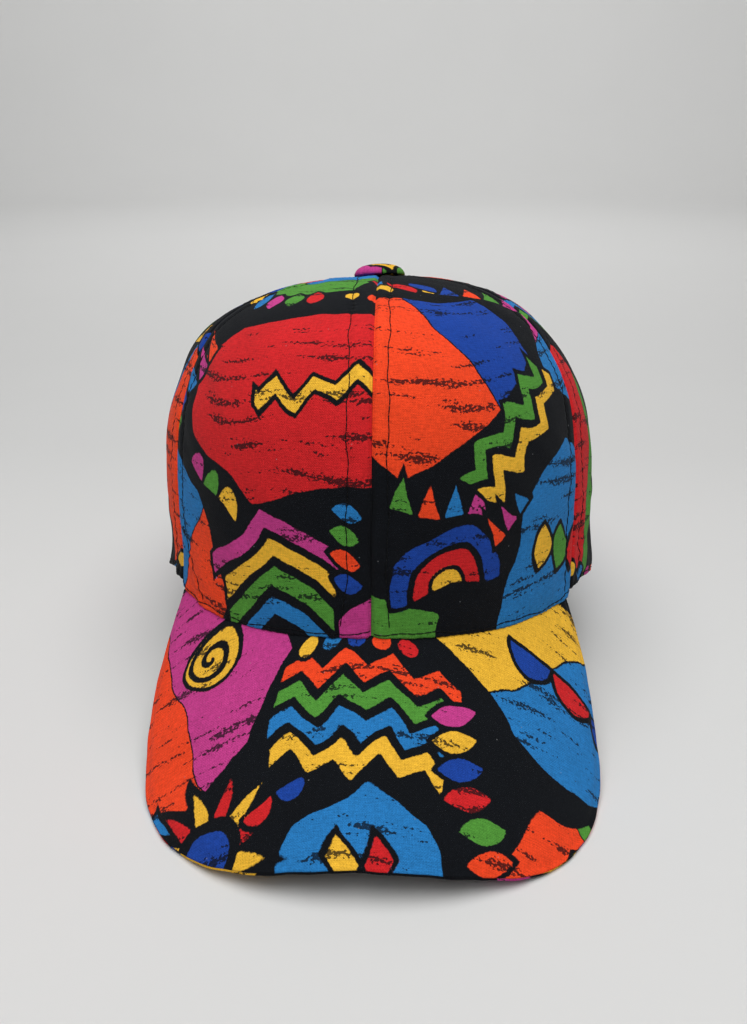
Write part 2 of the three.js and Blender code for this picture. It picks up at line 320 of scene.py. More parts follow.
def crown_plan(angle, height, inset):
    """A point of the crown in its own axes: an oval whose reach follows the profiles, plus the folds."""
    turn = np.radians(angle)
    fore = np.where(np.cos(turn) > 0, reach_at("front", height, inset), reach_at("back", height, inset))
    out = folds_at(angle, height, FOLDS) - seam_pull(angle, height) * (1 - height**FOLD_FADE)
    x = (reach_at("side", height, inset) + out) * np.sin(turn)
    y = -(fore + out) * np.cos(turn) + TOP_SETBACK * height
    near_top = height**TOP_SHARPNESS
    up = (CROWN_HEIGHT - inset) * height + TOP_SIDE_LEAN * x * near_top
    return x + TOP_SIDE_SHIFT * near_top, y, up


RIM_FRONT = rest(0.0, -FRONT_REACH, 0.0)[1]


def free_peak_top(x, y):
    """The seat's height, less an even fall away from the rim, less the arch times (x / span)^2."""
    return PEAK_SEAT - PEAK_FALL * (RIM_FRONT - y) - PEAK_ARCH * (x / PEAK_ARCH_SPAN) ** 2


def peak_top(x, y):
    """The peak's top face: it falls away evenly, arches across, and bends up softly at the surface."""
    above = free_peak_top(x, y) - PEAK_LOWEST
    return PEAK_LOWEST + (above + np.hypot(above, PEAK_SOFTNESS)) / 2


def drop_to_peak(x, y):
    """How far below the rim's plane a straight wall under (x, y) meets the peak's top face."""
    foot_x, foot_y, foot_z = rest(x, y, 0.0)
    gain = math.cos(CROWN_TILT) - PEAK_FALL * math.sin(CROWN_TILT)
    return (foot_z - free_peak_top(foot_x, foot_y)) / gain


def lower_edge_drop(angle, inset):
    """The lower edge below the rim's plane: on the peak, then a smooth sweep down to the back.

    The sweep is a cubic that leaves the peak's end with the drop and the slope that it has there.
    """
    signed = wrap_degrees(angle)
    away = np.abs(signed)
    side = np.where(signed < 0, -1.0, 1.0)

    def drop_at(distance):
        """The drop that puts the wall on the peak, at an angle from the front on its own side."""
        x, y, _ = crown_plan(side * distance, 0.0, inset)
        return drop_to_peak(x, y)

    end = drop_at(PEAK_END_ANGLE)
    span = RIM_SIDE_ANGLE - PEAK_END_ANGLE
    slope = (end - drop_at(PEAK_END_ANGLE - 1)) * span
    past = (away - PEAK_END_ANGLE) / span
    from_end = (1 + 2 * past) * (1 - past) ** 2
    sweep = end * from_end + slope * past * (1 - past) ** 2 + RIM_SIDE_DROP * (1 - from_end)
    back = smooth_step((away - RIM_SIDE_ANGLE) / (RIM_BACK_ANGLE - RIM_SIDE_ANGLE))
    behind = lerp(RIM_SIDE_DROP, RIM_BACK_DROP, back)
    return np.where(away <= PEAK_END_ANGLE, drop_at(away), np.where(away <= RIM_SIDE_ANGLE, sweep, behind))


def crown_surface(angle, share, inset):
    """A point of the wall, at share 0 on its lower edge and 1 at the top, as an array of x, y, z."""
    height = np.sin(share * math.pi / 2)
    x, y, up = crown_plan(angle, height, inset)
    fade = np.clip(1 - share / EDGE_FADE, 0, None) ** 2
    x, y, z = rest(x, y, up - lower_edge_drop(angle, inset) * fade)
    return np.stack([x, y, np.clip(z, 0, None)], axis=-1)


def unit(vectors):
    """Each vector divided by its length."""
    return vectors / np.maximum(np.linalg.norm(vectors, axis=-1, keepdims=True), TINY)


def grid_normals(points):
    """Unit normals of a grid of points, from its slopes down its rows and along its columns."""
    return unit(np.cross(np.gradient(points, axis=0), np.gradient(points, axis=1)))


def moved_out(points, normals, distance):
    """Points moved along their normals by a distance each, and kept from going below the floor."""
    points = points + normals * distance[..., None]
    points[..., 2] = np.clip(points[..., 2], 0, None)
    return points


def steps_along(points, axis):
    """Distance travelled along one axis of a line or grid of points, from its first point."""
    lengths = np.linalg.norm(np.diff(points, axis=axis), axis=-1)
    start = np.zeros_like(np.take(lengths, [0], axis=axis))
    return np.concatenate([start, np.cumsum(lengths, axis=axis)], axis=axis)


def angles_round(count):
    """So many angles all the way round, evenly apart."""
    return np.linspace(0, math.tau, count + 1)[:-1]


# Relief of the cloth, in millimetres.
ROLL_WIDTH = 0.85
ALLOWANCE_RISE = 0.25
ALLOWANCE_PAST_LINE = 1.0
ALLOWANCE_FADE = 3.0
STITCH_VALLEY = 0.34
STITCH_VALLEY_WIDTH = 0.95
PUCKER = 0.11
PUCKER_WIDTH = 2.6
SLOW_PUCKER = 3.7
HEM_VALLEY = 0.22
HEM_SWELL = 0.2
HEM_SHARE = 0.0065
# The puckers low down beside the side seams, and the bunching where a seam's turnings meet the hem.
LOW_PUCKER = 0.3
LOW_PUCKER_WAVE = 5.6
LOW_PUCKER_SLANT = 0.35
LOW_PUCKER_WIDTH = 5.0
LOW_PUCKER_REACH = 30.0
HEM_BUNCH = 0.45
HEM_BUNCH_REACH = 3.5
HEM_BUNCH_PLACE = 6.0
HEM_BUNCH_WIDTH = 4.0
# How the topstitching strays from its line. Columns: wave along the line, size.
STITCH_WAVES = ((34.0, 0.35), (13.0, 0.2))
STRAY_REACH = 15.0
STITCH_MOST_SHARE = 0.42
LAST_SEAM_PHASE = 2
# Long soft waves of the cloth, less high on the peak, and how far they shift from panel to panel.
# Columns: along the panel, across it, phase, height of the wave.
CLOTH_WAVES = (
    (46.0, 33.0, 0.4, 0.16),
    (27.0, 38.0, 2.1, 0.1),
    (19.0, 15.0, 4.4, 0.05),
    (11.0, 13.0, 1.2, 0.03),
)
PEAK_WAVE_SHARE = 0.75
PANEL_SHIFT = 31


def cloth_waves(u, v):
    """A sum of slanting waves of different lengths."""
    total = 0.0
    for along, across, phase, height in CLOTH_WAVES:
        total = total + height * np.sin(math.tau * (v / along + u / across) + phase)
    return total


def stitch_waves(along, phase):
    """The slight waves of a line of topstitching along its length."""
    return sum(size * np.sin(math.tau * along / wave + phase) for wave, size in STITCH_WAVES)


def stray(along, offset, low, phase):
    """How far a seam's topstitching strays from its inset: all along, towards the hem, and in waves."""
    return offset + low * hump(along, STRAY_REACH) + stitch_waves(along, phase)


def seam_relief(distance, along, inset, depth, pitch, low_pucker):
    """The roll into a seam, the rise over its turnings, the valley of its topstitching and its puckers."""
    off_line = distance - inset
    roll = -depth * hump(distance, ROLL_WIDTH)
    rise = ALLOWANCE_RISE * smooth_step((ALLOWANCE_PAST_LINE - off_line) / ALLOWANCE_FADE)
    valley = -STITCH_VALLEY * hump(off_line, STITCH_VALLEY_WIDTH)
    waves = np.sin(math.tau * along / pitch) + np.sin(math.tau * along / (SLOW_PUCKER * pitch) + inset)
    pucker = PUCKER * waves * hump(off_line, PUCKER_WIDTH)
    slanted = np.sin(math.tau * (along + LOW_PUCKER_SLANT * off_line) / LOW_PUCKER_WAVE)
    low = slanted * hump(off_line, LOW_PUCKER_WIDTH) * hump(along, LOW_PUCKER_REACH)
    bunch = HEM_BUNCH * hump(along, HEM_BUNCH_REACH) * hump(distance - HEM_BUNCH_PLACE, HEM_BUNCH_WIDTH)
    return roll + rise + valley + pucker + low_pucker * LOW_PUCKER * low + bunch


def hem_relief(off_line, along, up, sizes):
    """The valley and the puckers of the hem's topstitching, and the swell of its turned-up cloth."""
    valley = -HEM_VALLEY * hump(off_line, STITCH_VALLEY_WIDTH)
    waves = np.sin(math.tau * along * MM / sizes.stitch_length)
    swell = HEM_SWELL * hump(up, sizes.hem_stitch_inset / MM)
    return valley + PUCKER * waves * hump(off_line, PUCKER_WIDTH) + swell


# Columns, by the seam that a panel starts at: the offset and the low stray of the topstitching beside its
# first and its last seam, and how strong the low puckers are there.
STITCH_STRAYS = (
    ((-1.4, 0.5), (0.0, -0.8), (0.35, 0.6)),
    ((0.3, 1.5), (0.0, 0.6), (1.0, 0.6)),
    ((0.0, 0.6), (0.0, -0.4), (0.6, 0.4)),
    ((0.2, 0.5), (0.0, 0.7), (0.4, 0.6)),
    ((0.0, -0.5), (0.3, 1.2), (0.6, 1.0)),
    ((0.0, 14.0), (1.5, 2.2), (1.3, 0.5)),
)


def stitch_fields(index, from_start, to_end, v, u, sizes):
    """How far each point of a panel is from its three lines of topstitching: both seams' and the hem's."""
    inset = sizes.seam_stitch_inset / MM
    first, last, _ = STITCH_STRAYS[index]
    most = STITCH_MOST_SHARE * (from_start + to_end)
    at_start = np.minimum(inset + stray(v, *first, index), most)
    at_end = np.minimum(inset + stray(v, *last, index + LAST_SEAM_PHASE), most)
    at_hem = sizes.hem_stitch_inset / MM + stitch_waves(u, index)
    return from_start - at_start, at_end - to_end, v - at_hem


def gore_rows(wall):
    """Rows down the outer face, round a half circle at the lower edge and up the inner face.

    Each row has its share of the height, its inset into the wall and how much of the relief it takes.
    """
    bend = np.linspace(0, math.pi, HEM_STEPS + 1)[1:-1]
    down = np.linspace(TIP_SHARE, HEM_SHARE, OUTER_ROWS + 1)
    up = np.linspace(HEM_SHARE, TIP_SHARE, INNER_ROWS + 1)
    share = np.concatenate([down, HEM_SHARE * (1 - np.sin(bend)), up])
    inset = np.concatenate([0 * down, wall / 2 * (1 - np.cos(bend)), 0 * up + wall])
    weight = np.concatenate([0 * down + 1, (1 + np.cos(bend)) / 2, 0 * up])
    return share[:, None], inset[:, None], weight[:, None]


def gore_columns():
    """Columns from one seam to the next, close together at the seams."""
    edge = np.linspace(0, EDGE_ZONE, EDGE_COLUMNS + 1)
    middle = np.linspace(EDGE_ZONE, 1 - EDGE_ZONE, MIDDLE_COLUMNS + 1)
    return np.concatenate([edge[:-1], middle, (1 - edge[::-1])[1:]])[None, :]


def panel_shape(index, sizes):
    """One gore of the crown as a closed shell.

    The outer face is moved along its normals by the relief of its seams, its hem, the small creases and the
    waves of the cloth.
    """
    share, inset, weight = gore_rows(sizes.wall / MM)
    height = np.sin(share * math.pi / 2)
    start, end = (lerp(rim, top, height) for rim, top, _ in SEAMS[index : index + 2])
    angle = lerp(start, end, gore_columns())
    points = crown_surface(angle, share + 0 * angle, inset + 0 * angle)
    from_start = steps_along(points, 1)
    to_end = from_start[:, -1:] - from_start
    down = steps_along(points, 0)
    v = np.abs(down - down[OUTER_ROWS + HEM_STEPS // 2])
    u = from_start - from_start[:, -1:] / 2
    seam = (sizes.seam_depth / MM, sizes.stitch_length / MM)
    off_first, off_last, off_hem = stitch_fields(index, from_start, to_end, v, u, sizes)
    low_first, low_last = STITCH_STRAYS[index][2]
    relief = seam_relief(from_start, v, from_start - off_first, *seam, low_first)
    relief = relief + seam_relief(to_end, v, to_end + off_last, *seam, low_last)
    relief = relief + hem_relief(off_hem, u, v, sizes)
    relief = relief + folds_at(angle, height, FINE_CREASES) + cloth_waves(u + PANEL_SHIFT * index, v)
    points = moved_out(points, grid_normals(points), relief * weight)
    lines = {"first_line": off_first, "last_line": off_last, "hem_line": off_hem}
    return {"points": points, "u": u, "v": v, "reverse": 1 - weight + 0 * u, **lines}


def point_numbers(rows, columns, around):
    """Numbers of a grid's points, with its first row (0) or column (1) again at the end, to close it."""
    numbers = np.arange(rows * columns).reshape(rows, columns)
    return np.concatenate([numbers, np.take(numbers, [0], axis=around)], axis=around)


def grid_faces(numbers):
    """Four-cornered faces of a grid whose rows run down and whose columns run to the right."""
    corners = [numbers[:-1, :-1], numbers[1:, :-1], numbers[1:, 1:], numbers[:-1, 1:]]
    return np.stack(corners, axis=-1).reshape(-1, 4)


def end_faces(outer, inner, bend):
    """Triangles that close an open end: between an outer line, an inner line and the bend joining them."""
    per_inner = (len(outer) - 1) // (len(inner) - 1)
    starts = np.repeat(inner[:-1], per_inner)
    fans = np.stack([starts, outer[1:], outer[:-1]], axis=-1)
    rungs = np.stack([inner[:-1], inner[1:], outer[per_inner::per_inner]], axis=-1)
    tips = np.stack([np.full(len(bend) - 1, inner[-1]), bend[1:], bend[:-1]], axis=-1)
    return np.concatenate([fans, rungs, tips[:-1]])


def shell_faces(rows, columns, outer_rows, bend_steps):
    """Faces of a closed shell: a grid that is closed round its rows, and its two ends."""
    numbers = point_numbers(rows, columns, 0)
    column = numbers[:-1, 0]
    outer = column[: outer_rows + 1]
    bend = column[outer_rows : outer_rows + bend_steps + 1]
    inner = column[outer_rows + bend_steps :][::-1]
    first = end_faces(outer, inner, bend)
    last = (first + columns - 1)[:, ::-1]
    return grid_faces(numbers).tolist() + np.concatenate([first, last]).tolist()


def fill_layer(data, key, array):
    """Puts an array of numbers into a mesh layer in one go."""
    data.foreach_set(key, array.astype(np.float32).ravel())


def make_object(name, points, faces, material):
    """A smooth mesh object at the origin, from points in metres."""
    mesh = bpy.data.meshes.new(name)
    mesh.from_pydata(points.reshape(-1, 3).tolist(), [], faces)
    mesh.polygons.foreach_set("use_smooth", np.ones(len(mesh.polygons), bool))
    mesh.materials.append(material)
    whole = bpy.data.objects.new(name, mesh)
    bpy.context.scene.collection.objects.link(whole)
    return whole


def make_piece(name, points, faces, material, uv=None, values=None, colours=None):
    """A piece of the cap from points in the part's millimetres, with its cloth map and layers."""
    piece = make_object(name, (points + ORIGIN_SHIFT) * MM, faces, material)
    mesh = piece.data
    if uv is not None:
        corners = np.zeros(len(mesh.loops), np.int32)
        mesh.loops.foreach_get("vertex_index", corners)
        fill_layer(mesh.uv_layers.new(name="cloth").data, "uv", uv.reshape(-1, 2)[corners] * MM)
    for key, array in (values or {}).items():
        fill_layer(mesh.attributes.new(key, "FLOAT", "POINT").data, "value", array)
    for key, array in (colours or {}).items():
        fill_layer(mesh.attributes.new(key, "FLOAT_COLOR", "POINT").data, "color", array)
    mesh.validate()
    return piece


# The print: its inks, each with the letter that stands for it in the tables below.
INK_LETTERS = "krosbygm"
INKS = ("ground", "red", "orange", "sky", "royal", "yellow", "green", "magenta")
OUTLINE_GAP = 1.6
CORNER_ROUNDING = 1.6
ZIGZAG_PERIOD = 15.0
ZIGZAG_RISE = 3.4
CHEVRON_SLOPE = 0.75
# How much a chevron's length varies, and how far the wave that it follows moves on from row to row.
CHEVRON_VARIES = 0.15
CHEVRON_STEP = 2.1
# Zigzags and chevrons lie so many half thicknesses and a gap apart.
BAND_PITCH = 2.5
ROW_GAP = 2.3
PETAL_GAP = 0.8
FAR = 90.0
# The hand-drawn wobble of every edge. Columns: wave along, wave across, phase, size.
# A wave slants, because it is so many times as long the other way.
WOBBLE_SLANT = 3
WOBBLES = ((47.0, 39.0, 0.3, 1.5), (21.0, 25.0, 1.9, 0.5), (8.3, 9.1, 4.0, 0.12))


def wobble(u, v):
    """Moves the points of the print by slanting waves, so that its lines look drawn by hand."""
    shift_u = 0.0
    shift_v = 0.0
    for along, across, phase, size in WOBBLES:
        shift_u = shift_u + size * np.sin(math.tau * (v / along + u / (WOBBLE_SLANT * across)) + phase)
        shift_v = shift_v + size * np.cos(math.tau * (u / across - v / (WOBBLE_SLANT * along)) + 2 * phase)
    return u + shift_u, v + shift_v


def polygon_distance(x, y, corners):
    """Distance to a polygon's nearest side, negative inside, where a ray crosses an odd number of sides."""
    nearest = np.full(x.shape, FAR)
    inside = np.zeros(x.shape, bool)
    for (ax, ay), (bx, by) in zip(corners, corners[1:] + corners[:1]):
        side_x = bx - ax
        side_y = by - ay
        share = np.clip(((x - ax) * side_x + (y - ay) * side_y) / (side_x**2 + side_y**2), 0, 1)
        nearest = np.minimum(nearest, np.hypot(x - ax - share * side_x, y - ay - share * side_y))
        crosses = (ay > y) != (by > y)
        crossing = ax + (y - ay) * side_x / (side_y or TINY)
        inside ^= crosses & (x < crossing)
    return np.where(inside, -nearest, nearest)


def in_cells(x, half, count):
    """Divides a length into equal cells: the place within the cell, and the cell's number."""
    pitch = 2 * half / count
    cell = np.clip(np.floor((x + half) / pitch), 0, count - 1)
    return x + half - (cell + 0.5) * pitch, cell


def stacked(y, pitch, count):
    """Divides a height into equal layers round its middle: the place within the layer, and its number."""
    layer = np.clip(np.round(y / pitch + (count - 1) / 2), 0, count - 1)
    return y - (layer - (count - 1) / 2) * pitch, layer


def half_moons(x, y, half, tall, count):
    """A row of half discs that stand on their flat sides."""
    x, cell = in_cells(x, half, count)
    radius = half / count - PETAL_GAP
    return np.maximum(np.hypot(x, y * radius / tall) - radius, -y), cell


def lozenges(x, y, half, tall, count):
    """A row of slim lozenges side by side."""
    x, cell = in_cells(x, half, count)
    wide = half / count - PETAL_GAP
    return (np.abs(x) / wide + np.abs(y) / tall - 1) * wide * tall / math.hypot(wide, tall), cell


def petals(x, y, half, tall, count):
    """A row of upright petals: each as wide as a parabola allows at its height."""
    x, cell = in_cells(x, half, count)
    wide = half / count - PETAL_GAP
    edge = np.abs(x) - wide * (1 - (y / tall) ** 2)
    return edge / np.sqrt(1 + (2 * wide * y / tall**2) ** 2), cell


def zigzags(x, y, half, tall, count):
    """Parallel zigzag lines: the height above a triangle wave, ended at both sides."""
    triangle = np.abs(np.mod(x / ZIGZAG_PERIOD, 1) * 2 - 1) * 2 - 1
    y, layer = stacked(y - ZIGZAG_RISE * triangle, BAND_PITCH * tall + ROW_GAP, count)
    steep = math.cos(math.atan(4 * ZIGZAG_RISE / ZIGZAG_PERIOD))
    return np.maximum(np.abs(y) * steep - tall * steep, np.abs(x) - half), layer


def chevrons(x, y, half, tall, count):
    """Nested chevrons: the height above a bent line, ended at both sides."""
    y, layer = stacked(y + CHEVRON_SLOPE * np.abs(x), BAND_PITCH * tall + ROW_GAP, count)
    steep = math.cos(math.atan(CHEVRON_SLOPE))
    own = half * (1 - CHEVRON_VARIES + CHEVRON_VARIES * np.cos(CHEVRON_STEP * layer))
    return np.maximum(np.abs(y) * steep - tall * steep, np.abs(x) - own), layer


def teeth(x, y, half, tall, count):
    """A row of triangles that stand side by side."""
    x, cell = in_cells(x, half, count)
    base = half / count - PETAL_GAP
    side = (np.abs(x) * 2 * tall + (y - tall) * base) / math.hypot(2 * tall, base)
    return np.maximum(side, -y - tall), cell


def dots(x, y, half, tall, count):
    """A row of discs."""
    x, cell = in_cells(x, half, count)
    return np.hypot(x, y) - tall, cell


def arches(x, y, half, tall, count):
    """Nested arches on one line: half circles round a middle radius."""
    away, layer = stacked(np.hypot(x, y) - half, 2 * tall + ROW_GAP, count)
    return np.maximum(np.abs(away) - tall, -y), layer


def rays(x, y, half, tall, count):
    """Triangles that stand round a circle and point outwards: a row of teeth in polar measure."""
    around = np.arctan2(y, x) * half
    return teeth(around, np.hypot(x, y) - half - tall, math.pi * half, tall, count)


def spiral(x, y, half, tall, count):
    """A band that winds outwards by one pitch a turn, out to a radius."""
    pitch = 2 * tall + ROW_GAP
    place = np.mod(np.hypot(x, y) / pitch - np.arctan2(y, x) / math.tau, 1) - 0.5
    return np.maximum(np.abs(place) * pitch - tall, np.hypot(x, y) - half), 0


KINDS = (half_moons, lozenges, petals, zigzags, chevrons, teeth, dots, arches, rays, spiral)
MOTIF_KINDS = {kind.__name__: kind for kind in KINDS}

# Fields of one ink, or of two with a straight join between them.
# Columns: inks, the join's turn and a point on it, corners.
# Places are in millimetres, across from the piece's middle and up from its lower edge, or out on the peak.
FIELDS = {
    "front_left": (
        ("r", 0, 0, 0, ((-26, 66), (4, 48), (60, 56), (60, 112), (26, 118), (-10, 108), (-32, 90))),
        ("so", 62, -34, 20, ((-64, -10), (-22, -10), (-10, 8), (-28, 44), (-64, 56))),
        ("m", 0, 0, 0, ((22, -10), (60, -10), (60, 18), (40, 12))),
        ("sg", 30, -4, 154, ((-30, 134), (20, 140), (14, 176), (0, 190), (-20, 170))),
    ),
    "front_right": (
        ("s", 0, 0, 0, ((0, -10), (60, -10), (60, 46), (34, 60), (12, 44))),
        ("bo", -68, -10, 96, ((-60, 70), (-38, 56), (-8, 72), (20, 98), (4, 126), (-60, 128))),
        ("ms", 10, 44, 104, ((30, 84), (60, 66), (60, 122), (34, 126))),
        ("g", 0, 0, 0, ((-60, -10), (-30, -10), (-24, 6), (-40, 14), (-60, 12))),
    ),
    "side_left": (
        ("so", 70, 26, 60, ((12, 40), (38, 6), (70, 20), (70, 88), (40, 96))),
        ("ym", -30, -22, 50, ((-60, 20), (-12, 6), (6, 40), (-14, 84), (-56, 74))),
        ("rb", 20, 0, 134, ((-26, 110), (18, 114), (26, 150), (-8, 166))),
    ),
    "side_right": (
        ("rg", 80, -34, 60, ((-70, 20), (-42, 4), (-14, 44), (-36, 92), (-70, 84))),
        ("ys", 30, 24, 44, ((-4, 4), (56, 16), (60, 66), (20, 86), (6, 48))),
        ("om", -10, 0, 130, ((-24, 112), (22, 106), (20, 152), (-4, 168))),
    ),
    "back": (
        ("os", 0, 0, 44, ((-60, 14), (4, 6), (22, 42), (-8, 82), (-58, 72))),
        ("rm", 60, 40, 90, ((24, 56), (70, 38), (70, 112), (34, 124))),
        ("by", 10, -10, 134, ((-30, 112), (10, 106), (20, 150), (-10, 166))),
    ),
    "peak": (
        ("om", 66, -66, 16, ((-104, -50), (-48, -40), (-30, 0), (-40, 30), (-62, 44), (-104, 34))),
        ("sy", -38, 58, 0, ((20, -10), (44, -34), (104, -44), (104, 26), (78, 34), (50, 24))),
        ("s", 0, 0, 0, ((-34, 96), (-20, 64), (0, 52), (16, 64), (27, 96))),
        ("og", 66, 74, 52, ((38, 98), (43, 66), (58, 48), (80, 44), (104, 36), (104, 98))),
    ),
    "button": (("mg", 70, 3, 0, ((-14, -8), (4, -14), (14, 0), (0, 14), (-12, 10))),),
}

# Small shapes, over the fields. Columns: kind, across, up, turn, half length, half thickness, number, inks.
MOTIFS = {
    "front_left": (
        ("chevrons", 10, 26, 8, 27, 3.3, 4, "sgym"),
        ("half_moons", -18, 46, -34, 16, 8, 3, "mgy"),
        ("zigzags", 26, 84, 6, 24, 2.6, 1, "y"),
        ("petals", 38, 32, 82, 15, 5, 4, "bogs"),
        ("teeth", -40, 80, 62, 24, 5.5, 5, "gbsmo"),
        ("petals", -14, 128, 10, 26, 6.5, 6, "oysmgr"),
        ("spiral", -50, 116, 0, 12, 2.4, 1, "b"),
        ("dots", 32, 132, -4, 14, 2.8, 3, "yom"),
        ("lozenges", 34, 156, 6, 16, 5, 4, "royg"),
    ),
    "front_right": (
        ("petals", 38, 22, -12, 24, 8, 4, "ygro"),
        ("arches", -19, 17, 12, 13.5, 2.9, 2, "rb"),
        ("half_moons", -19, 17, 12, 6.4, 5.4, 1, "y"),
        ("teeth", -24, 48, -8, 19, 5.6, 4, "gosm"),
        ("zigzags", 8, 70, 48, 28, 2.9, 2, "yg"),
        ("teeth", 2, 42, 40, 12, 4, 3, "oms"),
        ("teeth", 8, 134, -26, 38, 5, 7, "sybogm"),
        ("petals", -26, 142, 8, 22, 6, 5, "gsyrb"),
        ("lozenges", 30, 152, -40, 22, 6, 5, "bosyg"),
    ),
    "side_left": (
        ("teeth", 8, 104, -16, 40, 5, 7, "gybo"),
        ("chevrons", 40, 124, 60, 16, 2.7, 3, "gmo"),
        ("half_moons", -30, 30, 20, 26, 10, 2, "bg"),
        ("zigzags", -42, 108, 40, 24, 2.8, 2, "bg"),
        ("dots", 44, 4, 30, 24, 3, 4, "rsyg"),
        ("arches", 2, 14, 20, 14, 2.4, 2, "om"),
    ),
    "side_right": (
        ("zigzags", -24, 112, -36, 34, 2.8, 2, "gs"),
        ("chevrons", -50, 124, -58, 16, 2.7, 3, "oby"),
        ("spiral", 34, 44, 0, 13, 2.4, 1, "r"),
        ("teeth", 30, 98, 14, 32, 5, 6, "omgsy"),
        ("dots", -36, 2, -18, 26, 3.2, 5, "ysmob"),
        ("petals", -4, 76, 20, 16, 7, 3, "gor"),
        ("lozenges", 34, 132, 0, 16, 10, 3, "gys"),
    ),
    "back": (
        ("zigzags", -10, 98, 8, 46, 3, 2, "gy"),
        ("arches", 40, 14, 0, 14, 2.6, 3, "rys"),
        ("petals", -30, 24, 12, 18, 7, 3, "byb"),
        ("chevrons", 34, 132, 60, 16, 2.8, 3, "ogb"),
        ("teeth", -42, 96, 74, 26, 5.5, 5, "srsmy"),
        ("petals", -36, 132, 60, 22, 6, 4, "bory"),
    ),
    "peak": (
        ("zigzags", -2, 27, 8, 29, 3.1, 4, "ogsy"),
        ("dots", -4, 2, 4, 22, 3.2, 5, "ysbor"),
        ("rays", -52, 64, 0, 13, 5.5, 12, "yr"),
        ("dots", -52, 64, 0, 6, 9, 1, "b"),
        ("teeth", -86, 62, -44, 24, 6, 5, "gsm"),
        ("spiral", -58, -8, 0, 11, 1.8, 1, "y"),
        ("petals", 31, 46, 76, 27, 8, 6, "mybrgo"),
        ("half_moons", -30, 52, -24, 11, 5.5, 2, "rb"),
        ("half_moons", 76, -4, 20, 26, 9, 3, "brb"),
        ("zigzags", 88, 44, -38, 26, 2.4, 1, "g"),
        ("lozenges", -3, 73, 4, 10, 8, 2, "yr"),
    ),
    "button": (("chevrons", 3, -5, 200, 9, 1.3, 2, "oy"),),
}


def turned(x, y, degrees):
    """A place measured along and across a direction that is turned by so many degrees."""
    cosine = math.cos(math.radians(degrees))
    sine = math.sin(math.radians(degrees))
    return x * cosine + y * sine, y * cosine - x * sine


def field_shapes(u, v, cut):
    """Each field's distance, how far a point is past the join of its two inks, and those inks."""
    for inks, turn, join_u, join_v, corners in FIELDS[cut]:
        past_join = -turned(u - join_u, v - join_v, turn)[1] if len(inks) > 1 else -FAR
        numbers = [INK_LETTERS.index(letter) for letter in (inks[0], inks[-1])]
        yield polygon_distance(u, v, corners) - CORNER_ROUNDING, past_join, *numbers


def motif_shapes(u, v, cut):
    """Each motif's distance and inks, which follow one another in its row."""
    for kind, across, up, turn, half, tall, count, inks in MOTIFS[cut]:
        distance, number = MOTIF_KINDS[kind](*turned(u - across, v - up, turn), half, tall, count)
        cycle = np.array([INK_LETTERS.index(letter) for letter in inks])
        own = cycle[np.mod(number + 0 * u, len(inks)).astype(int)]
        yield distance, -FAR, own, own


def print_layers(u, v, cut, palette):
    """The print at each point of a piece.

    Every shape gives its distance, negative inside. A later shape cuts a gap into those before it and then
    joins them by the least distance. The layers are that distance, the distance from the join between the
    two inks of the nearest shape, and those inks.
    """
    u, v = wobble(u, v)
    nearest = np.full(u.shape, FAR)
    join = np.full(u.shape, -FAR)
    first = np.zeros(u.shape, int)
    second = np.zeros(u.shape, int)
    for distance, past_join, own, other in chain(field_shapes(u, v, cut), motif_shapes(u, v, cut)):
        cut_back = np.maximum(nearest, OUTLINE_GAP - distance)
        over = distance < cut_back
        nearest = np.where(over, distance, cut_back)
        join = np.where(over, past_join, join)
        first = np.where(over, own, first)
        second = np.where(over, other, second)
    return {
        "values": {"shape": np.clip(nearest, -FAR, FAR), "join": join},
        "colours": {"first_ink": palette[first], "second_ink": palette[second]},
    }


def ink_palette(colours):
    """The inks as an array of linear colours, in the order of their letters."""
    return np.array([tuple(getattr(colours, ink)) for ink in INKS])


def add_node(tree, kind, inputs=(), output=0, **settings):
    """Adds a node, sets it, and links or sets its inputs, which come in order or by their sockets.

    Returns one of its outputs, or the node itself where it has none.
    """
    node = tree.nodes.new("ShaderNode" + kind)
    for name, value in settings.items():
        setattr(node, name, value)
    for key, value in inputs.items() if isinstance(inputs, dict) else enumerate(inputs):
        if isinstance(value, bpy.types.NodeSocket):
            tree.links.new(value, node.inputs[key])
        else:
            node.inputs[key].default_value = value
    return node.outputs[output] if len(node.outputs) else node


def new_material(name):
    """A material and its node tree, emptied."""
    material = bpy.data.materials.new(name)
    material.use_nodes = True
    material.node_tree.nodes.clear()
    return material, material.node_tree


# The printed cotton, in millimetres. A range has its low and high ends, and then what they are turned into.
MARK_ROW_PITCHES = (6.3, 10.5)
MARK_ROW_MIDDLES = (0.25, 0.75)
MARK_LENGTH = 23.0
MARK_CORE = 0.5
MARK_GRAIN = (1.15, 0.85)
MARK_WANDER_SCALE = 0.018
MARK_WANDER = 11.0
MARK_SEED = 5.7
MARK_ROW_STEP = 7.31
MARK_THICKNESS = (0.43, 0.68, -1.0, 1.35)
MARK_RAGGED = (0.25, 0.75, -1.5, 1.5)
MARK_EDGE = (-0.06, 0.2)
INK_UNDER_MARK = (0.0, 1.0, 1.0, 0.12)
BLEED_SCALE = 0.9
BLEED = (0.0, 1.0, -0.3, 0.3)
SHAPE_EDGE = (-0.14, 0.14, 1.0, 0.0)
JOIN_EDGE = (-0.1, 0.1)
JOIN_LINE = (0.18, 0.38)
PATCH_SCALE = 0.07
PATCH_TONES = (0.0, 1.0, 0.88, 1.1)
THREAD_SPACING = 0.42
THREAD_TONES = (0.7, 1.7, 0.78, 1.22)
SLUB = (2.6, 0.42)
WEFT_SHARE = 1.4
SLUB_RISE = 2.0
WEAVE_DEPTH = 0.08
LINT_SPACING = 26.0
LINT_SHOWN = (0.004, 0.011, 0.5, 0.0)
LINT_INK = "#8c8d90"
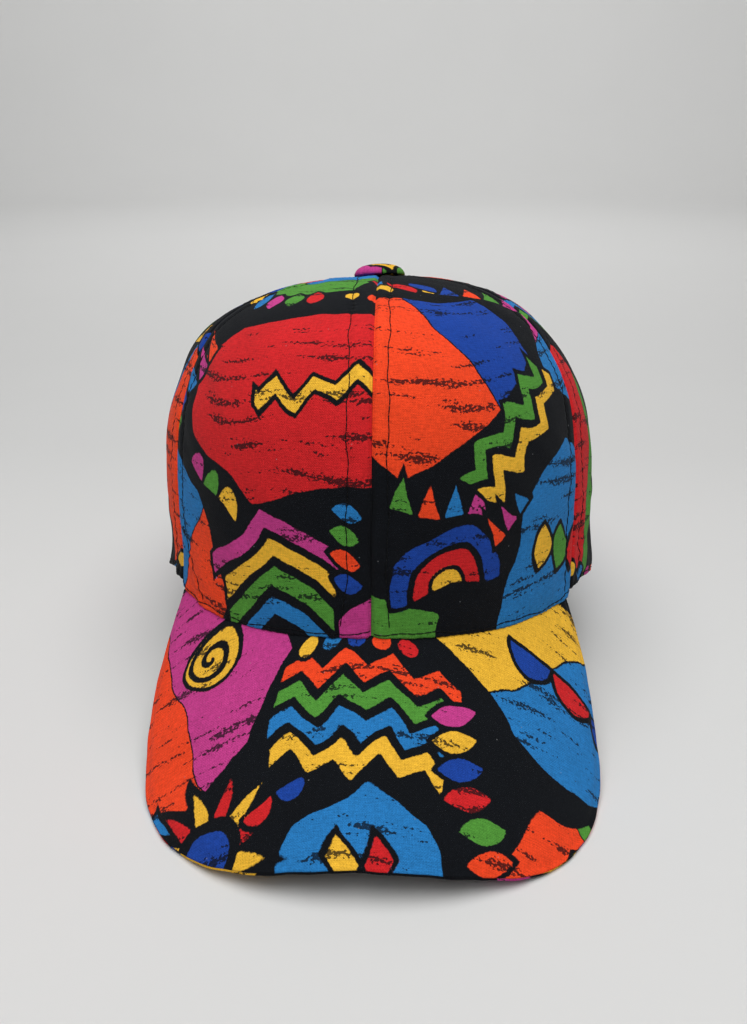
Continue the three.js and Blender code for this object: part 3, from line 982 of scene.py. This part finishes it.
REVERSE_INK = "#3a3b40"
REVERSE_DULLING = 0.72


# The sockets of a node that mixes two colours.
MIX_SHARE = 0
MIX_FIRST = 6
MIX_SECOND = 7
COLOUR_MIX = {"data_type": "RGBA", "output": 2}
# The layers of a printed piece: numbers and colours at its points.
NUMBER_LAYERS = ("shape", "join", "reverse")
COLOUR_LAYERS = ("first_ink", "second_ink")


def split(tree, place):
    """The outputs of a place's three numbers."""
    parts = tree.nodes.new("ShaderNodeSeparateXYZ")
    tree.links.new(place, parts.inputs[0])
    return parts.outputs


def divided(tree, place, sizes, seed):
    """A flat place in millimetres divided by two sizes, with a seed as its third number."""
    x, y, _ = split(tree, place)
    x = add_node(tree, "Math", (x, sizes[0]), operation="DIVIDE")
    y = add_node(tree, "Math", (y, sizes[1]), operation="DIVIDE")
    return add_node(tree, "CombineXYZ", (x, y, seed))


def brush_marks(tree, cloth, pitch, seed):
    """Dry-brush marks: rows along the weft where a slow noise gives a dash its length and thickness.

    The depth inside a dash is held small, so that the grain breaks it up all over, as a dry brush does.
    """
    slow = {"Vector": cloth, "Scale": MARK_WANDER_SCALE, "Detail": 1.0}
    wander = add_node(tree, "TexNoise", slow, noise_dimensions="2D")
    drift = add_node(tree, "Math", (wander, MARK_WANDER), operation="MULTIPLY")
    drift = add_node(tree, "CombineXYZ", {1: drift})
    shifted = add_node(tree, "VectorMath", (cloth, drift), operation="ADD")
    along, across, _ = split(tree, divided(tree, shifted, (MARK_LENGTH, pitch), seed))
    level = add_node(tree, "Math", (across, seed), operation="ADD")
    row = add_node(tree, "Math", (level,), operation="FLOOR")
    place = add_node(tree, "Math", (level,), operation="FRACT")
    chance = add_node(tree, "TexWhiteNoise", {"W": row}, noise_dimensions="1D")
    centre = add_node(tree, "MapRange", (chance, 0.0, 1.0, *MARK_ROW_MIDDLES))
    off = add_node(tree, "Math", (place, centre), operation="SUBTRACT")
    off = add_node(tree, "Math", (off,), operation="ABSOLUTE")
    off = add_node(tree, "Math", (off, pitch), operation="MULTIPLY")
    spread = add_node(tree, "Math", (row, MARK_ROW_STEP), operation="MULTIPLY")
    dash = add_node(tree, "CombineXYZ", (along, spread, seed))
    dash = add_node(tree, "TexNoise", {"Vector": dash, "Scale": 1.0, "Detail": 2.0})
    thickness = add_node(tree, "MapRange", (dash, *MARK_THICKNESS))
    grain = divided(tree, cloth, MARK_GRAIN, seed)
    grain = add_node(tree, "TexNoise", {"Vector": grain, "Scale": 1.0, "Detail": 3.0})
    ragged = add_node(tree, "MapRange", (grain, *MARK_RAGGED), clamp=False)
    depth = add_node(tree, "Math", (thickness, off), operation="SUBTRACT")
    depth = add_node(tree, "Math", (depth, MARK_CORE), operation="MINIMUM")
    depth = add_node(tree, "Math", (depth, ragged), operation="ADD")
    return add_node(tree, "MapRange", (depth, *MARK_EDGE))


def cotton_threads(tree, cloth):
    """How thick the threads are at each point: a slow noise along the weft and another along the warp."""
    slubs = [
        add_node(tree, "TexNoise", {"Vector": place, "Scale": 1.0, "Detail": 2.0}, noise_dimensions="2D")
        for place in (divided(tree, cloth, SLUB, 0.0), divided(tree, cloth, SLUB[::-1], 0.0))
    ]
    weft = add_node(tree, "Math", (slubs[0], WEFT_SHARE), operation="MULTIPLY")
    return add_node(tree, "Math", (weft, slubs[1]), operation="ADD")


def cotton_bump(tree, cloth, slubs):
    """The relief of a plain weave, higher where its threads are thick."""
    waves = add_node(tree, "VectorMath", {0: cloth, "Scale": math.pi / THREAD_SPACING}, operation="SCALE")
    across, along, _ = split(tree, add_node(tree, "VectorMath", (waves,), operation="SINE"))
    weave = add_node(tree, "Math", (across, along), operation="MULTIPLY")
    raised = add_node(tree, "Math", (slubs, SLUB_RISE), operation="MULTIPLY")
    raised = add_node(tree, "Math", (weave, raised), operation="ADD")
    return add_node(tree, "Bump", {"Height": raised, "Strength": 0.6, "Distance": WEAVE_DEPTH * MM})


def cotton_inks(tree, cloth, layers, uneven):
    """The ink of the nearest shape and how much of it shows, between the outlines and the brush marks."""
    bleed = {"Vector": cloth, "Scale": BLEED_SCALE, "Detail": 3.0}
    bleed = add_node(tree, "TexNoise", bleed, noise_dimensions="2D")
    bleed = add_node(tree, "MapRange", (bleed, *BLEED))
    shape = add_node(tree, "Math", (layers["shape"], bleed), operation="ADD")
    inside = add_node(tree, "MapRange", (shape, *SHAPE_EDGE))
    join = add_node(tree, "Math", (layers["join"], bleed), operation="ADD")
    past_join = add_node(tree, "MapRange", (join, *JOIN_EDGE))
    from_join = add_node(tree, "Math", (join,), operation="ABSOLUTE")
    off_line = add_node(tree, "MapRange", (from_join, *JOIN_LINE))
    inks = {MIX_SHARE: past_join, MIX_FIRST: layers["first_ink"], MIX_SECOND: layers["second_ink"]}
    ink = add_node(tree, "Mix", inks, **COLOUR_MIX)
    ink = add_node(tree, "VectorMath", {0: ink, "Scale": uneven}, operation="SCALE")
    marks = [brush_marks(tree, cloth, pitch, MARK_SEED * row) for row, pitch in enumerate(MARK_ROW_PITCHES)]
    marked = add_node(tree, "Math", marks, operation="MAXIMUM")
    kept = add_node(tree, "MapRange", (marked, *INK_UNDER_MARK))
    shown = add_node(tree, "Math", (inside, off_line), operation="MULTIPLY")
    return ink, add_node(tree, "Math", (shown, kept), operation="MULTIPLY")


def printed_cotton(name, colours):
    """Plain-woven cotton, printed: matt, with crisp inks that bleed a little along the threads.

    The near-black dye stays between the shapes and breaks through them in dry-brush marks. The threads are
    uneven along their length, cross in a plain weave and hold a few pale specks of lint. On the reverse the
    inks show only as a dull shadow. Real threads lie about 0.25 mm apart and are drawn coarser, to show.
    """
    material, tree = new_material(name)
    flat = add_node(tree, "UVMap", uv_map="cloth")
    cloth = add_node(tree, "VectorMath", {0: flat, "Scale": 1 / MM}, operation="SCALE")
    layers = {key: add_node(tree, "Attribute", attribute_name=key, output="Fac") for key in NUMBER_LAYERS}
    layers |= {key: add_node(tree, "Attribute", attribute_name=key) for key in COLOUR_LAYERS}
    patches = {"Vector": cloth, "Scale": PATCH_SCALE, "Detail": 3.0}
    patches = add_node(tree, "TexNoise", patches, noise_dimensions="2D")
    patches = add_node(tree, "MapRange", (patches, *PATCH_TONES))
    slubs = cotton_threads(tree, cloth)
    threads = add_node(tree, "MapRange", (slubs, *THREAD_TONES))
    uneven = add_node(tree, "Math", (patches, threads), operation="MULTIPLY")
    ink, shown = cotton_inks(tree, cloth, layers, uneven)
    ground = {0: tuple(colours.ground)[:3], "Scale": uneven}
    ground = add_node(tree, "VectorMath", ground, operation="SCALE")
    printed = {MIX_SHARE: shown, MIX_FIRST: ground, MIX_SECOND: ink}
    printed = add_node(tree, "Mix", printed, **COLOUR_MIX)
    specks = {"Vector": cloth, "Scale": 1 / LINT_SPACING}
    specks = add_node(tree, "TexVoronoi", specks, voronoi_dimensions="2D")
    lint = add_node(tree, "MapRange", (specks, *LINT_SHOWN))
    linty = {MIX_SHARE: lint, MIX_FIRST: printed, MIX_SECOND: linear(LINT_INK)}
    printed = add_node(tree, "Mix", linty, **COLOUR_MIX)
    dull = {MIX_SHARE: REVERSE_DULLING, MIX_FIRST: printed, MIX_SECOND: linear(REVERSE_INK)}
    dull = add_node(tree, "Mix", dull, **COLOUR_MIX)
    colour = {MIX_SHARE: layers["reverse"], MIX_FIRST: printed, MIX_SECOND: dull}
    cloth_look = {
        "Base Color": add_node(tree, "Mix", colour, **COLOUR_MIX),
        "Normal": cotton_bump(tree, cloth, slubs),
        "Roughness": 0.9,
        "Specular IOR Level": 0.12,
        "Sheen Weight": 0.03,
        "Sheen Roughness": 0.5,
    }
    add_node(tree, "OutputMaterial", (add_node(tree, "BsdfPrincipled", cloth_look),))
    return material


# The two plies of the thread, as waves to the metre, and how they shade it: painted shade and highlight in
# its colour, and a bump.
PLY_SCALE = 700.0
PLY_PAINTED_SHADE_TONES = (0.0, 1.0, 0.7, 1.5)
PLY_DEPTH = 0.05


def sewing_thread(name, colours):
    """Spun polyester sewing thread: two plies twisted together, nearly black, with a slight gloss and with
    painted shade and highlight along the twist.
    """
    material, tree = new_material(name)
    place = add_node(tree, "TexCoord", output="Object")
    plies = add_node(tree, "TexWave", {"Vector": place, "Scale": PLY_SCALE, "Distortion": 1.0}, output="Fac")
    # Painted shade in the grooves between the plies and painted highlight on their crests, put into the
    # thread's colour.
    shade = add_node(tree, "MapRange", (plies, *PLY_PAINTED_SHADE_TONES))
    dyed_with_painted_ply_shade = {0: tuple(colours.thread)[:3], "Scale": shade}
    thread_look = {
        "Base Color": add_node(tree, "VectorMath", dyed_with_painted_ply_shade, operation="SCALE"),
        "Normal": add_node(tree, "Bump", {"Height": plies, "Strength": 0.4, "Distance": PLY_DEPTH * MM}),
        "Roughness": 0.6,
        "Specular IOR Level": 0.15,
    }
    add_node(tree, "OutputMaterial", (add_node(tree, "BsdfPrincipled", thread_look),))
    return material


# The paper's clouds: how many to the metre, and how much they shade it.
CLOUD_SCALE = 3.0
CLOUD_TONES = (0.0, 1.0, 0.98, 1.02)


def studio_paper(name, colours):
    """Matt backdrop paper: pale, without a grain that the camera could see, faintly uneven."""
    material, tree = new_material(name)
    place = add_node(tree, "TexCoord", output="Object")
    cloudy = add_node(tree, "TexNoise", {"Vector": place, "Scale": CLOUD_SCALE, "Detail": 2.0})
    shade = add_node(tree, "MapRange", (cloudy, *CLOUD_TONES))
    colour = {0: tuple(colours.floor)[:3], "Scale": shade}
    colour = add_node(tree, "VectorMath", colour, operation="SCALE")
    paper = add_node(tree, "BsdfPrincipled", {"Base Color": colour, "Roughness": 0.9})
    add_node(tree, "OutputMaterial", (paper,))
    return material


# A panel's flat sizes without its turnings, by its place: width and length in metres, and area.
FLATS = {
    "front": ((0.094, 0.195), 0.0133),
    "side": ((0.107, 0.181), 0.0131),
    "back": ((0.097, 0.183), 0.0129),
}
# Columns: the panel's place, its side, the number of the seam that it starts at, its cut of the print, and
# what holds it up.
PANELS = (
    ("front", "right", 0, "front_right", ["peak"]),
    ("side", "right", 1, "side_right", ["panel_front_right", "panel_back_right"]),
    ("back", "right", 2, "back", ["panel_back_left"]),
    ("back", "left", 3, "side_right", ["panel_back_right"]),
    ("side", "left", 4, "side_left", ["panel_front_left", "panel_back_left"]),
    ("front", "left", 5, "front_left", ["peak"]),
)
CROWN_SLOT = "printed_cotton_crown"
PEAK_SLOT = "printed_cotton_peak"
BUTTON_SLOT = "printed_cotton_button"
BODY = "root"


def place_piece(piece, node=None):
    """Rides a piece on the cap and lets it replace its CAD node."""
    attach(piece, BODY)
    if node:
        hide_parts(node)


def make_printed(node, slot, material, points, faces, u, v, cut, colours, reverse):
    """One printed piece in the place of its CAD node, with its cloth map and the layers of its print."""
    layers = print_layers(u, v, cut, ink_palette(colours))
    layers["values"]["reverse"] = reverse + 0 * u
    uv = np.stack([u, v], axis=-1)
    piece = make_piece("cloth_" + node, points, faces, material, uv, **layers)
    place_piece(piece, node)
    return piece


class CAP_OT_crown_panels(bpy.types.Operator):
    """Make the six sewn panels of the crown."""

    bl_idname = "cap.crown_panels"
    bl_label = "Crown panels"

    def execute(self, context):
        sizes = context.scene.cap_sizes
        colours = context.scene.cap_colours
        material = printed_cotton("Printed plain-woven cotton, crown", colours)
        for place, side, start, cut, holders in PANELS:
            shape = panel_shape(start, sizes)
            u, v = shape["u"], shape["v"]
            faces = shell_faces(*u.shape, OUTER_ROWS, HEM_STEPS)
            cloth = (shape["points"], faces, u, v, cut, colours, shape["reverse"])
            piece = make_printed(f"panel_{place}_{side}", CROWN_SLOT, material, *cloth)
            rests_on = ["cloth_" + holder for holder in holders]
            flat, area = FLATS[place]
        return {"FINISHED"}


def peak_outline(across):
    """The peak's outline from above, by its length: a side that eases out, then a rounded corner."""
    t = np.linspace(0, 1, OUTLINE_STEPS + 1)
    is_left = t < 0.5
    side = np.where(is_left, -1.0, 1.0)
    half_width = np.where(is_left, *PEAK_WIDTHS)
    power = 2 / np.where(is_left, *PEAK_FULLNESS)
    along = np.abs(2 * t - 1)
    turn = np.clip(along / PEAK_FRONT_SHARE, 0, 1) * math.pi / 2
    reach = PEAK_LENGTH * math.cos(math.atan(PEAK_FALL))
    x = half_width * np.sin(turn) ** power
    y = RIM_FRONT - PEAK_WIDEST_AT - (reach - PEAK_WIDEST_AT) * np.clip(np.cos(turn), 0, 1) ** power
    end_x, end_y, _ = peak_seat(PEAK_END_ANGLE, -PEAK_END_FLARE)
    back = np.clip((along - PEAK_FRONT_SHARE) / (1 - PEAK_FRONT_SHARE), 0, 1)
    x = side * (x - (half_width - end_x) * back**2)
    y = y + (end_y - RIM_FRONT + PEAK_WIDEST_AT) * back
    length = steps_along(np.stack([x, y], axis=-1), 0)
    return np.interp(across * length[-1], length, x), np.interp(across * length[-1], length, y)


def peak_seat(angle, inset):
    """Where the plain wall of the rim stands on the peak's top face."""
    turn = np.radians(angle)
    x = (SIDE_REACH - inset) * np.sin(turn)
    y = -(FRONT_REACH - inset) * np.cos(turn)
    foot_x, foot_y, _ = rest(x, y, -drop_to_peak(x, y))
    return foot_x, foot_y, peak_top(foot_x, foot_y)


def peak_edge(radius):
    """Rows round the edge's half circle, down to the seam and on from it: inset and depth."""
    above = np.linspace(0, PEAK_SEAM_ANGLE, PEAK_SEAM_STEPS + 1)[1:]
    below = np.linspace(PEAK_SEAM_ANGLE + PEAK_SEAM_WIDTH, math.pi, PEAK_EDGE_STEPS - PEAK_SEAM_STEPS)[:-1]
    bend = np.concatenate([above, below])
    groove = np.zeros(len(bend))
    groove[PEAK_SEAM_STEPS - 1 : PEAK_SEAM_STEPS + 1] = PEAK_SEAM_DEPTH
    return radius * (1 - np.sin(bend)) + groove, radius * (1 - np.cos(bend))


def peak_shape(sizes):
    """The peak: rows fan out from inside the rim to the outline, round a half circle and back below.

    Each point is moved down square to the top face by its depth in the sheet, and near the edge by a roll.
    """
    across = np.linspace(0, 1, PEAK_COLUMNS + 1)[None, :]
    edge_x, edge_y = peak_outline(across)
    seat_x, seat_y, _ = peak_seat(lerp(-PEAK_END_ANGLE, PEAK_END_ANGLE, across), sizes.wall / MM)
    to_x = -edge_x
    to_y = RIM_FRONT - PEAK_FAN_CENTRE - edge_y
    far = np.hypot(to_x, to_y)
    thickness = sizes.peak_thickness / MM
    radius = thickness / 2
    edge_inset, edge_depth = peak_edge(radius)
    rows = np.linspace(0, 1, PEAK_TOP_ROWS + 1)
    out = np.concatenate([rows, 0 * edge_depth + 1, rows[::-1]])[:, None]
    waves = sum(size * np.sin(math.tau * number * across) for number, size in PEAK_EDGE_WAVES)
    inwards = np.concatenate([0 * rows + radius, edge_inset, 0 * rows + radius])[:, None] + waves
    depth = np.concatenate([0 * rows, edge_depth, 0 * rows + thickness])[:, None]
    x = lerp(seat_x, edge_x + to_x / far * inwards, out)
    y = lerp(seat_y, edge_y + to_y / far * inwards, out)
    bent = 2 * PEAK_ARCH / PEAK_ARCH_SPAN**2
    normal = np.stack([bent * x, np.full(x.shape, -PEAK_FALL), np.ones(x.shape)], axis=-1)
    u = (x * np.sqrt(1 + (bent * x) ** 2) + np.arcsinh(bent * x) / bent) / 2
    v = (RIM_FRONT - y) / math.cos(math.atan(PEAK_FALL))
    points = np.stack([x, y, peak_top(x, y)], axis=-1)
    from_edge = np.hypot(x - edge_x, y - edge_y) - inwards
    roll = PEAK_ROLL * hump(from_edge, PEAK_ROLL_WIDTH) * (1 - depth / thickness)
    points = moved_out(points, unit(normal), PEAK_WAVE_SHARE * cloth_waves(u, v) - roll - depth)
    is_under = np.arange(len(out))[:, None] > PEAK_TOP_ROWS + PEAK_SEAM_STEPS
    return points, np.where(is_under, -u, u), np.where(is_under, 2 * UNDER_COVER_TURN - v, v)


class CAP_OT_peak(bpy.types.Operator):
    """Make the arched, cloth-covered peak."""

    bl_idname = "cap.peak"
    bl_label = "Peak"

    def execute(self, context):
        colours = context.scene.cap_colours
        points, u, v = peak_shape(context.scene.cap_sizes)
        faces = shell_faces(*u.shape, PEAK_TOP_ROWS, PEAK_EDGE_STEPS)
        material = printed_cotton("Printed plain-woven cotton, peak", colours)
        make_printed("peak", PEAK_SLOT, material, points, faces, u, v, "peak", colours, 0)
        return {"FINISHED"}


# The covered button: radius and height along its outline, and the gathers of the cloth at its side.
BUTTON_RADII = (0.0, 8.4, 9.8, 10.5, 10.5, 10.0, 9.0, 7.4, 5.2, 2.6, 0.0)
BUTTON_HEIGHTS = (-0.2, -0.2, 0.0, 0.5, 1.3, 2.3, 3.3, 4.15, 4.7, 5.0, 5.1)
BUTTON_RINGS = 48
BUTTON_GATHERS = 17
BUTTON_GATHER = 0.16
BUTTON_GATHER_TOP = 3.4
BUTTON_GATHER_FADE = 3.0
BUTTON_GATHER_REACH = 8.0
BUTTON_GATHER_LOBES = 3
BUTTON_CLEARANCE = 0.35


def button_shape():
    """The outline turned about the crown's axis, with gathers that fade out towards the dome.

    The points are those of the rings, from the dome down, then the middles of the dome and of the foot.
    """
    steps = np.linspace(0, len(BUTTON_RADII) - 1, BUTTON_RINGS)[::-1]
    radius = np.interp(steps, range(len(BUTTON_RADII)), BUTTON_RADII)[:, None]
    height = np.interp(steps, range(len(BUTTON_RADII)), BUTTON_HEIGHTS)[:, None]
    turn = angles_round(BUTTON_SECTORS)[None, :]
    gather = BUTTON_GATHER * np.sin(BUTTON_GATHERS * turn + np.sin(BUTTON_GATHER_LOBES * turn))
    fade = smooth_step((BUTTON_GATHER_TOP - height) / BUTTON_GATHER_FADE) * (radius > BUTTON_GATHER_REACH)
    radius = radius + gather * fade
    height = height + 0 * radius
    lean = (math.cos(TOP_SIDE_LEAN), math.sin(TOP_SIDE_LEAN))
    side = np.array([lean[0], lean[1] * math.sin(CROWN_TILT), lean[1] * math.cos(CROWN_TILT)])
    back = np.array([0.0, math.cos(CROWN_TILT), -math.sin(CROWN_TILT)])
    foot = np.array(rest(TOP_SIDE_SHIFT, TOP_SETBACK, CROWN_HEIGHT + BUTTON_CLEARANCE))
    u, v, height = (
        np.concatenate([grid[1:-1].ravel(), grid[0, :1], grid[-1, :1]])
        for grid in (radius * np.cos(turn), radius * np.sin(turn), height)
    )
    points = foot + u[:, None] * side + v[:, None] * back + height[:, None] * np.cross(side, back)
    return points, u, v


def button_faces():
    """Faces between the rings, and triangles to the middle of the dome and of the foot."""
    numbers = point_numbers(BUTTON_RINGS - 2, BUTTON_SECTORS, 1)
    dome = np.full(BUTTON_SECTORS, numbers.max() + 1)
    first = np.stack([dome, numbers[0, :-1], numbers[0, 1:]], axis=-1)
    last = np.stack([dome + 1, numbers[-1, 1:], numbers[-1, :-1]], axis=-1)
    return grid_faces(numbers).tolist() + first.tolist() + last.tolist()


class CAP_OT_button(bpy.types.Operator):
    """Make the cloth-covered button on the top."""

    bl_idname = "cap.button"
    bl_label = "Button"

    def execute(self, context):
        colours = context.scene.cap_colours
        points, u, v = button_shape()
        material = printed_cotton("Printed plain-woven cotton, button", colours)
        make_printed("button", BUTTON_SLOT, material, points, button_faces(), u, v, "button", colours, 0)
        return {"FINISHED"}


STITCH_RINGS = 6
STITCH_SIDES = 6
STITCH_GAP_SHARE = 0.01
STITCH_ARCH = 0.4
STITCH_RISE = 0.12
STITCH_SINK = 0.06
STITCH_TIP = 0.75
# Where the topstitching stops short of the button, of the hem and of a panel's first seam.
SKIP_AT_TOP = 12.0
SKIP_AT_HEM = 1.5
SKIP_AT_SEAM = 1.0


def line_at(points, field):
    """The line over a grid of points, and its normals, where a field of distances is zero in each row."""
    below = np.clip((field < 0).sum(axis=1) - 1, 0, field.shape[1] - 2)[:, None]
    low = np.take_along_axis(field, below, 1)
    high = np.take_along_axis(field, below + 1, 1)
    share = (-low / np.maximum(high - low, TINY))[..., None]
    ends = (
        [np.take_along_axis(grid, number[..., None], 1) for number in (below, below + 1)]
        for grid in (points, grid_normals(points))
    )
    return [lerp(start, end, share)[:, 0] for start, end in ends]


def stitch_row(line, normals, sizes, skip_start, skip_end):
    """Stitches along a line: each a round thread that rises from one needle hole and dips into the next."""
    length = steps_along(line, 0)
    pitch = sizes.stitch_length / MM
    first = np.arange(skip_start, length[-1] - skip_end - pitch, pitch)[:, None]
    share = np.linspace(0, 1, STITCH_RINGS)[None, :]
    at = first + share * pitch * (1 - STITCH_GAP_SHARE)
    centre, up = (
        np.stack([np.interp(at, length, column) for column in rows.T], axis=-1) for rows in (line, normals)
    )
    arch = np.sin(math.pi * share) ** STITCH_ARCH
    centre = centre + up * (arch * (STITCH_RISE + STITCH_SINK) - STITCH_SINK)[..., None]
    aside = unit(np.cross(np.gradient(centre, axis=1), up))
    turn = angles_round(STITCH_SIDES)[:, None]
    spoke = aside[:, :, None] * np.cos(turn) + up[:, :, None] * np.sin(turn)
    radius = sizes.thread_width / MM / 2
    return centre[:, :, None] + spoke * radius * lerp(STITCH_TIP, 1.0, arch)[..., None, None]


def stitch_faces(count):
    """Faces of that many stitches: the sides of each and a six-cornered face at both ends."""
    numbers = point_numbers(STITCH_RINGS, STITCH_SIDES, 1)
    starts = np.arange(count)[:, None] * STITCH_RINGS * STITCH_SIDES
    walls = grid_faces(numbers)[:, ::-1] + starts[..., None]
    near = numbers[0, -2::-1] + starts
    far = numbers[-1, :-1] + starts
    return walls.reshape(-1, 4).tolist() + near.tolist() + far.tolist()


class CAP_OT_stitches(bpy.types.Operator):
    """Make the topstitching beside the seams and along the lower edge."""

    bl_idname = "cap.stitches"
    bl_label = "Topstitching"

    def execute(self, context):
        sizes = context.scene.cap_sizes
        material = sewing_thread("Spun polyester sewing thread", context.scene.cap_colours)
        for place, side, start, *_ in PANELS:
            shape = panel_shape(start, sizes)
            outer = {key: grid[: OUTER_ROWS + 1] for key, grid in shape.items()}
            seams = [line_at(outer["points"], outer[key]) for key in ("first_line", "last_line")]
            hem = line_at(outer["points"][::-1].transpose(1, 0, 2), outer["hem_line"][::-1].T)
            stitches = [stitch_row(*seam, sizes, SKIP_AT_TOP, SKIP_AT_HEM) for seam in seams]
            stitches.append(stitch_row(*hem, sizes, SKIP_AT_SEAM, 0.0))
            points = np.concatenate(stitches)
            faces = stitch_faces(len(points))
            piece = make_piece(f"stitches_panel_{place}_{side}", points, faces, material)
            place_piece(piece)
        return {"FINISHED"}


# The camera that the photograph's outline gave, in metres and degrees.
CAMERA_PLACE = (0.00435, -0.3314, 0.2137)
CAMERA_PITCH = 24.24
CAMERA_YAW = 1.1
CAMERA_LENS = 32.34
CAMERA_SENSOR = 36.0
CAMERA_NEAR = 0.01
# The studio's sweep of paper: a floor that curves up all round, with more rings near the cap.
FLOOR_RINGS = (0.02, 0.3, 0.8)
FLOOR_RADIUS = 1.9
SWEEP_RADIUS = 0.9
WALL_TOP = 2.4
SWEEP_STEPS = 24
SWEEP_SECTORS = 96
# The lights. Columns: place, the point that it shines at, diameter.
LIGHTS = {
    "top": ((0, -0.15, 1.2), (0, -0.13, 0), 1.34),
    "front": ((0, -1.0, 1.2), (0, 0, 0.06), 0.8),
    "back": ((0, 1.02, 1.65), (0, 2.9, 0.77), 1.4),
}


def studio_sweep(material):
    """A surface of revolution: a flat floor, a quarter circle up and a plain wall, its faces inwards."""
    bend = np.linspace(0, math.pi / 2, SWEEP_STEPS)
    curve = FLOOR_RADIUS + SWEEP_RADIUS * np.sin(bend)
    radius = np.concatenate([FLOOR_RINGS, curve, [FLOOR_RADIUS + SWEEP_RADIUS]])[:, None]
    rise = SWEEP_RADIUS * (1 - np.cos(bend))
    height = np.concatenate([np.zeros(len(FLOOR_RINGS)), rise, [WALL_TOP]])[:, None]
    turn = angles_round(SWEEP_SECTORS)
    points = np.stack([radius * np.cos(turn), radius * np.sin(turn), height + 0 * turn], axis=-1)
    faces = grid_faces(point_numbers(len(radius), SWEEP_SECTORS, 1)).tolist() + [list(range(SWEEP_SECTORS))]
    make_object("studio_sweep", points, faces, material)


def area_light(name, place, target, size, power):
    """A soft round light that shines from its place at a target and isn't seen itself."""
    light = bpy.data.lights.new(name + " light", "AREA")
    light.shape = "DISK"
    light.size = size
    light.energy = power
    holder = bpy.data.objects.new(light.name, light)
    holder.location = place
    aim = Vector(target) - Vector(place)
    holder.rotation_euler = aim.to_track_quat("-Z", "Y").to_euler()
    holder.visible_camera = False
    bpy.context.scene.collection.objects.link(holder)


class CAP_OT_studio(bpy.types.Operator):
    """Make the camera, the sweep of paper and the soft lights."""

    bl_idname = "cap.studio"
    bl_label = "Studio"

    def execute(self, context):
        scene = context.scene
        studio = scene.cap_studio
        camera = bpy.data.objects.new("camera", bpy.data.cameras.new("camera"))
        camera.data.lens = CAMERA_LENS
        camera.data.sensor_width = CAMERA_SENSOR
        camera.data.clip_start = CAMERA_NEAR
        camera.location = CAMERA_PLACE
        turn = Matrix.Rotation(math.radians(CAMERA_YAW), 3, "Z")
        dip = Matrix.Rotation(math.radians(QUARTER_TURN - CAMERA_PITCH), 3, "X")
        camera.rotation_euler = (turn @ dip).to_euler()
        scene.collection.objects.link(camera)
        scene.camera = camera
        studio_sweep(studio_paper("Matt backdrop paper", scene.cap_colours))
        for name, (place, target, size) in LIGHTS.items():
            area_light(name, place, target, size, getattr(studio, name + "_power"))
        world = bpy.data.worlds.new("studio")
        world.use_nodes = True
        surround = world.node_tree.nodes["Background"]
        surround.inputs["Color"].default_value = (1.0, 1.0, 1.0, 1.0)
        surround.inputs["Strength"].default_value = studio.surround
        scene.world = world
        scene.view_settings.view_transform = "Standard"
        return {"FINISHED"}


class CAP_PT_sidebar(bpy.types.Panel):
    """Lists the cap's sizes, colours and pieces."""

    bl_label = "Peaked cap"
    bl_idname = "CAP_PT_sidebar"
    bl_space_type = "VIEW_3D"
    bl_region_type = "UI"
    bl_category = "Cap"

    def draw(self, context):
        for group in (context.scene.cap_sizes, context.scene.cap_colours, context.scene.cap_studio):
            box = self.layout.box()
            for name in group.bl_rna.properties.keys():
                if name not in ("rna_type", "name"):
                    box.prop(group, name)
        for operator in OPERATORS:
            self.layout.operator(operator.bl_idname)


GROUPS = {"cap_sizes": CapSizes, "cap_colours": CapColours, "cap_studio": CapStudio}
OPERATORS = (CAP_OT_studio, CAP_OT_peak, CAP_OT_crown_panels, CAP_OT_button, CAP_OT_stitches)


def register():
    """Adds the classes, and the settings to the scene."""
    for cls in (*GROUPS.values(), *OPERATORS, CAP_PT_sidebar):
        bpy.utils.register_class(cls)
    for name, group in GROUPS.items():
        setattr(bpy.types.Scene, name, bpy.props.PointerProperty(type=group))


def unregister():
    """Takes the settings and the classes away again."""
    for name in GROUPS:
        delattr(bpy.types.Scene, name)
    for cls in reversed((*GROUPS.values(), *OPERATORS, CAP_PT_sidebar)):
        bpy.utils.unregister_class(cls)


def main():
    """Makes the studio and the cap."""
    register()
    bpy.ops.cap.studio()
    bpy.ops.cap.peak()
    bpy.ops.cap.crown_panels()
    bpy.ops.cap.button()
    bpy.ops.cap.stitches()


if __name__ == "__main__":
    main()
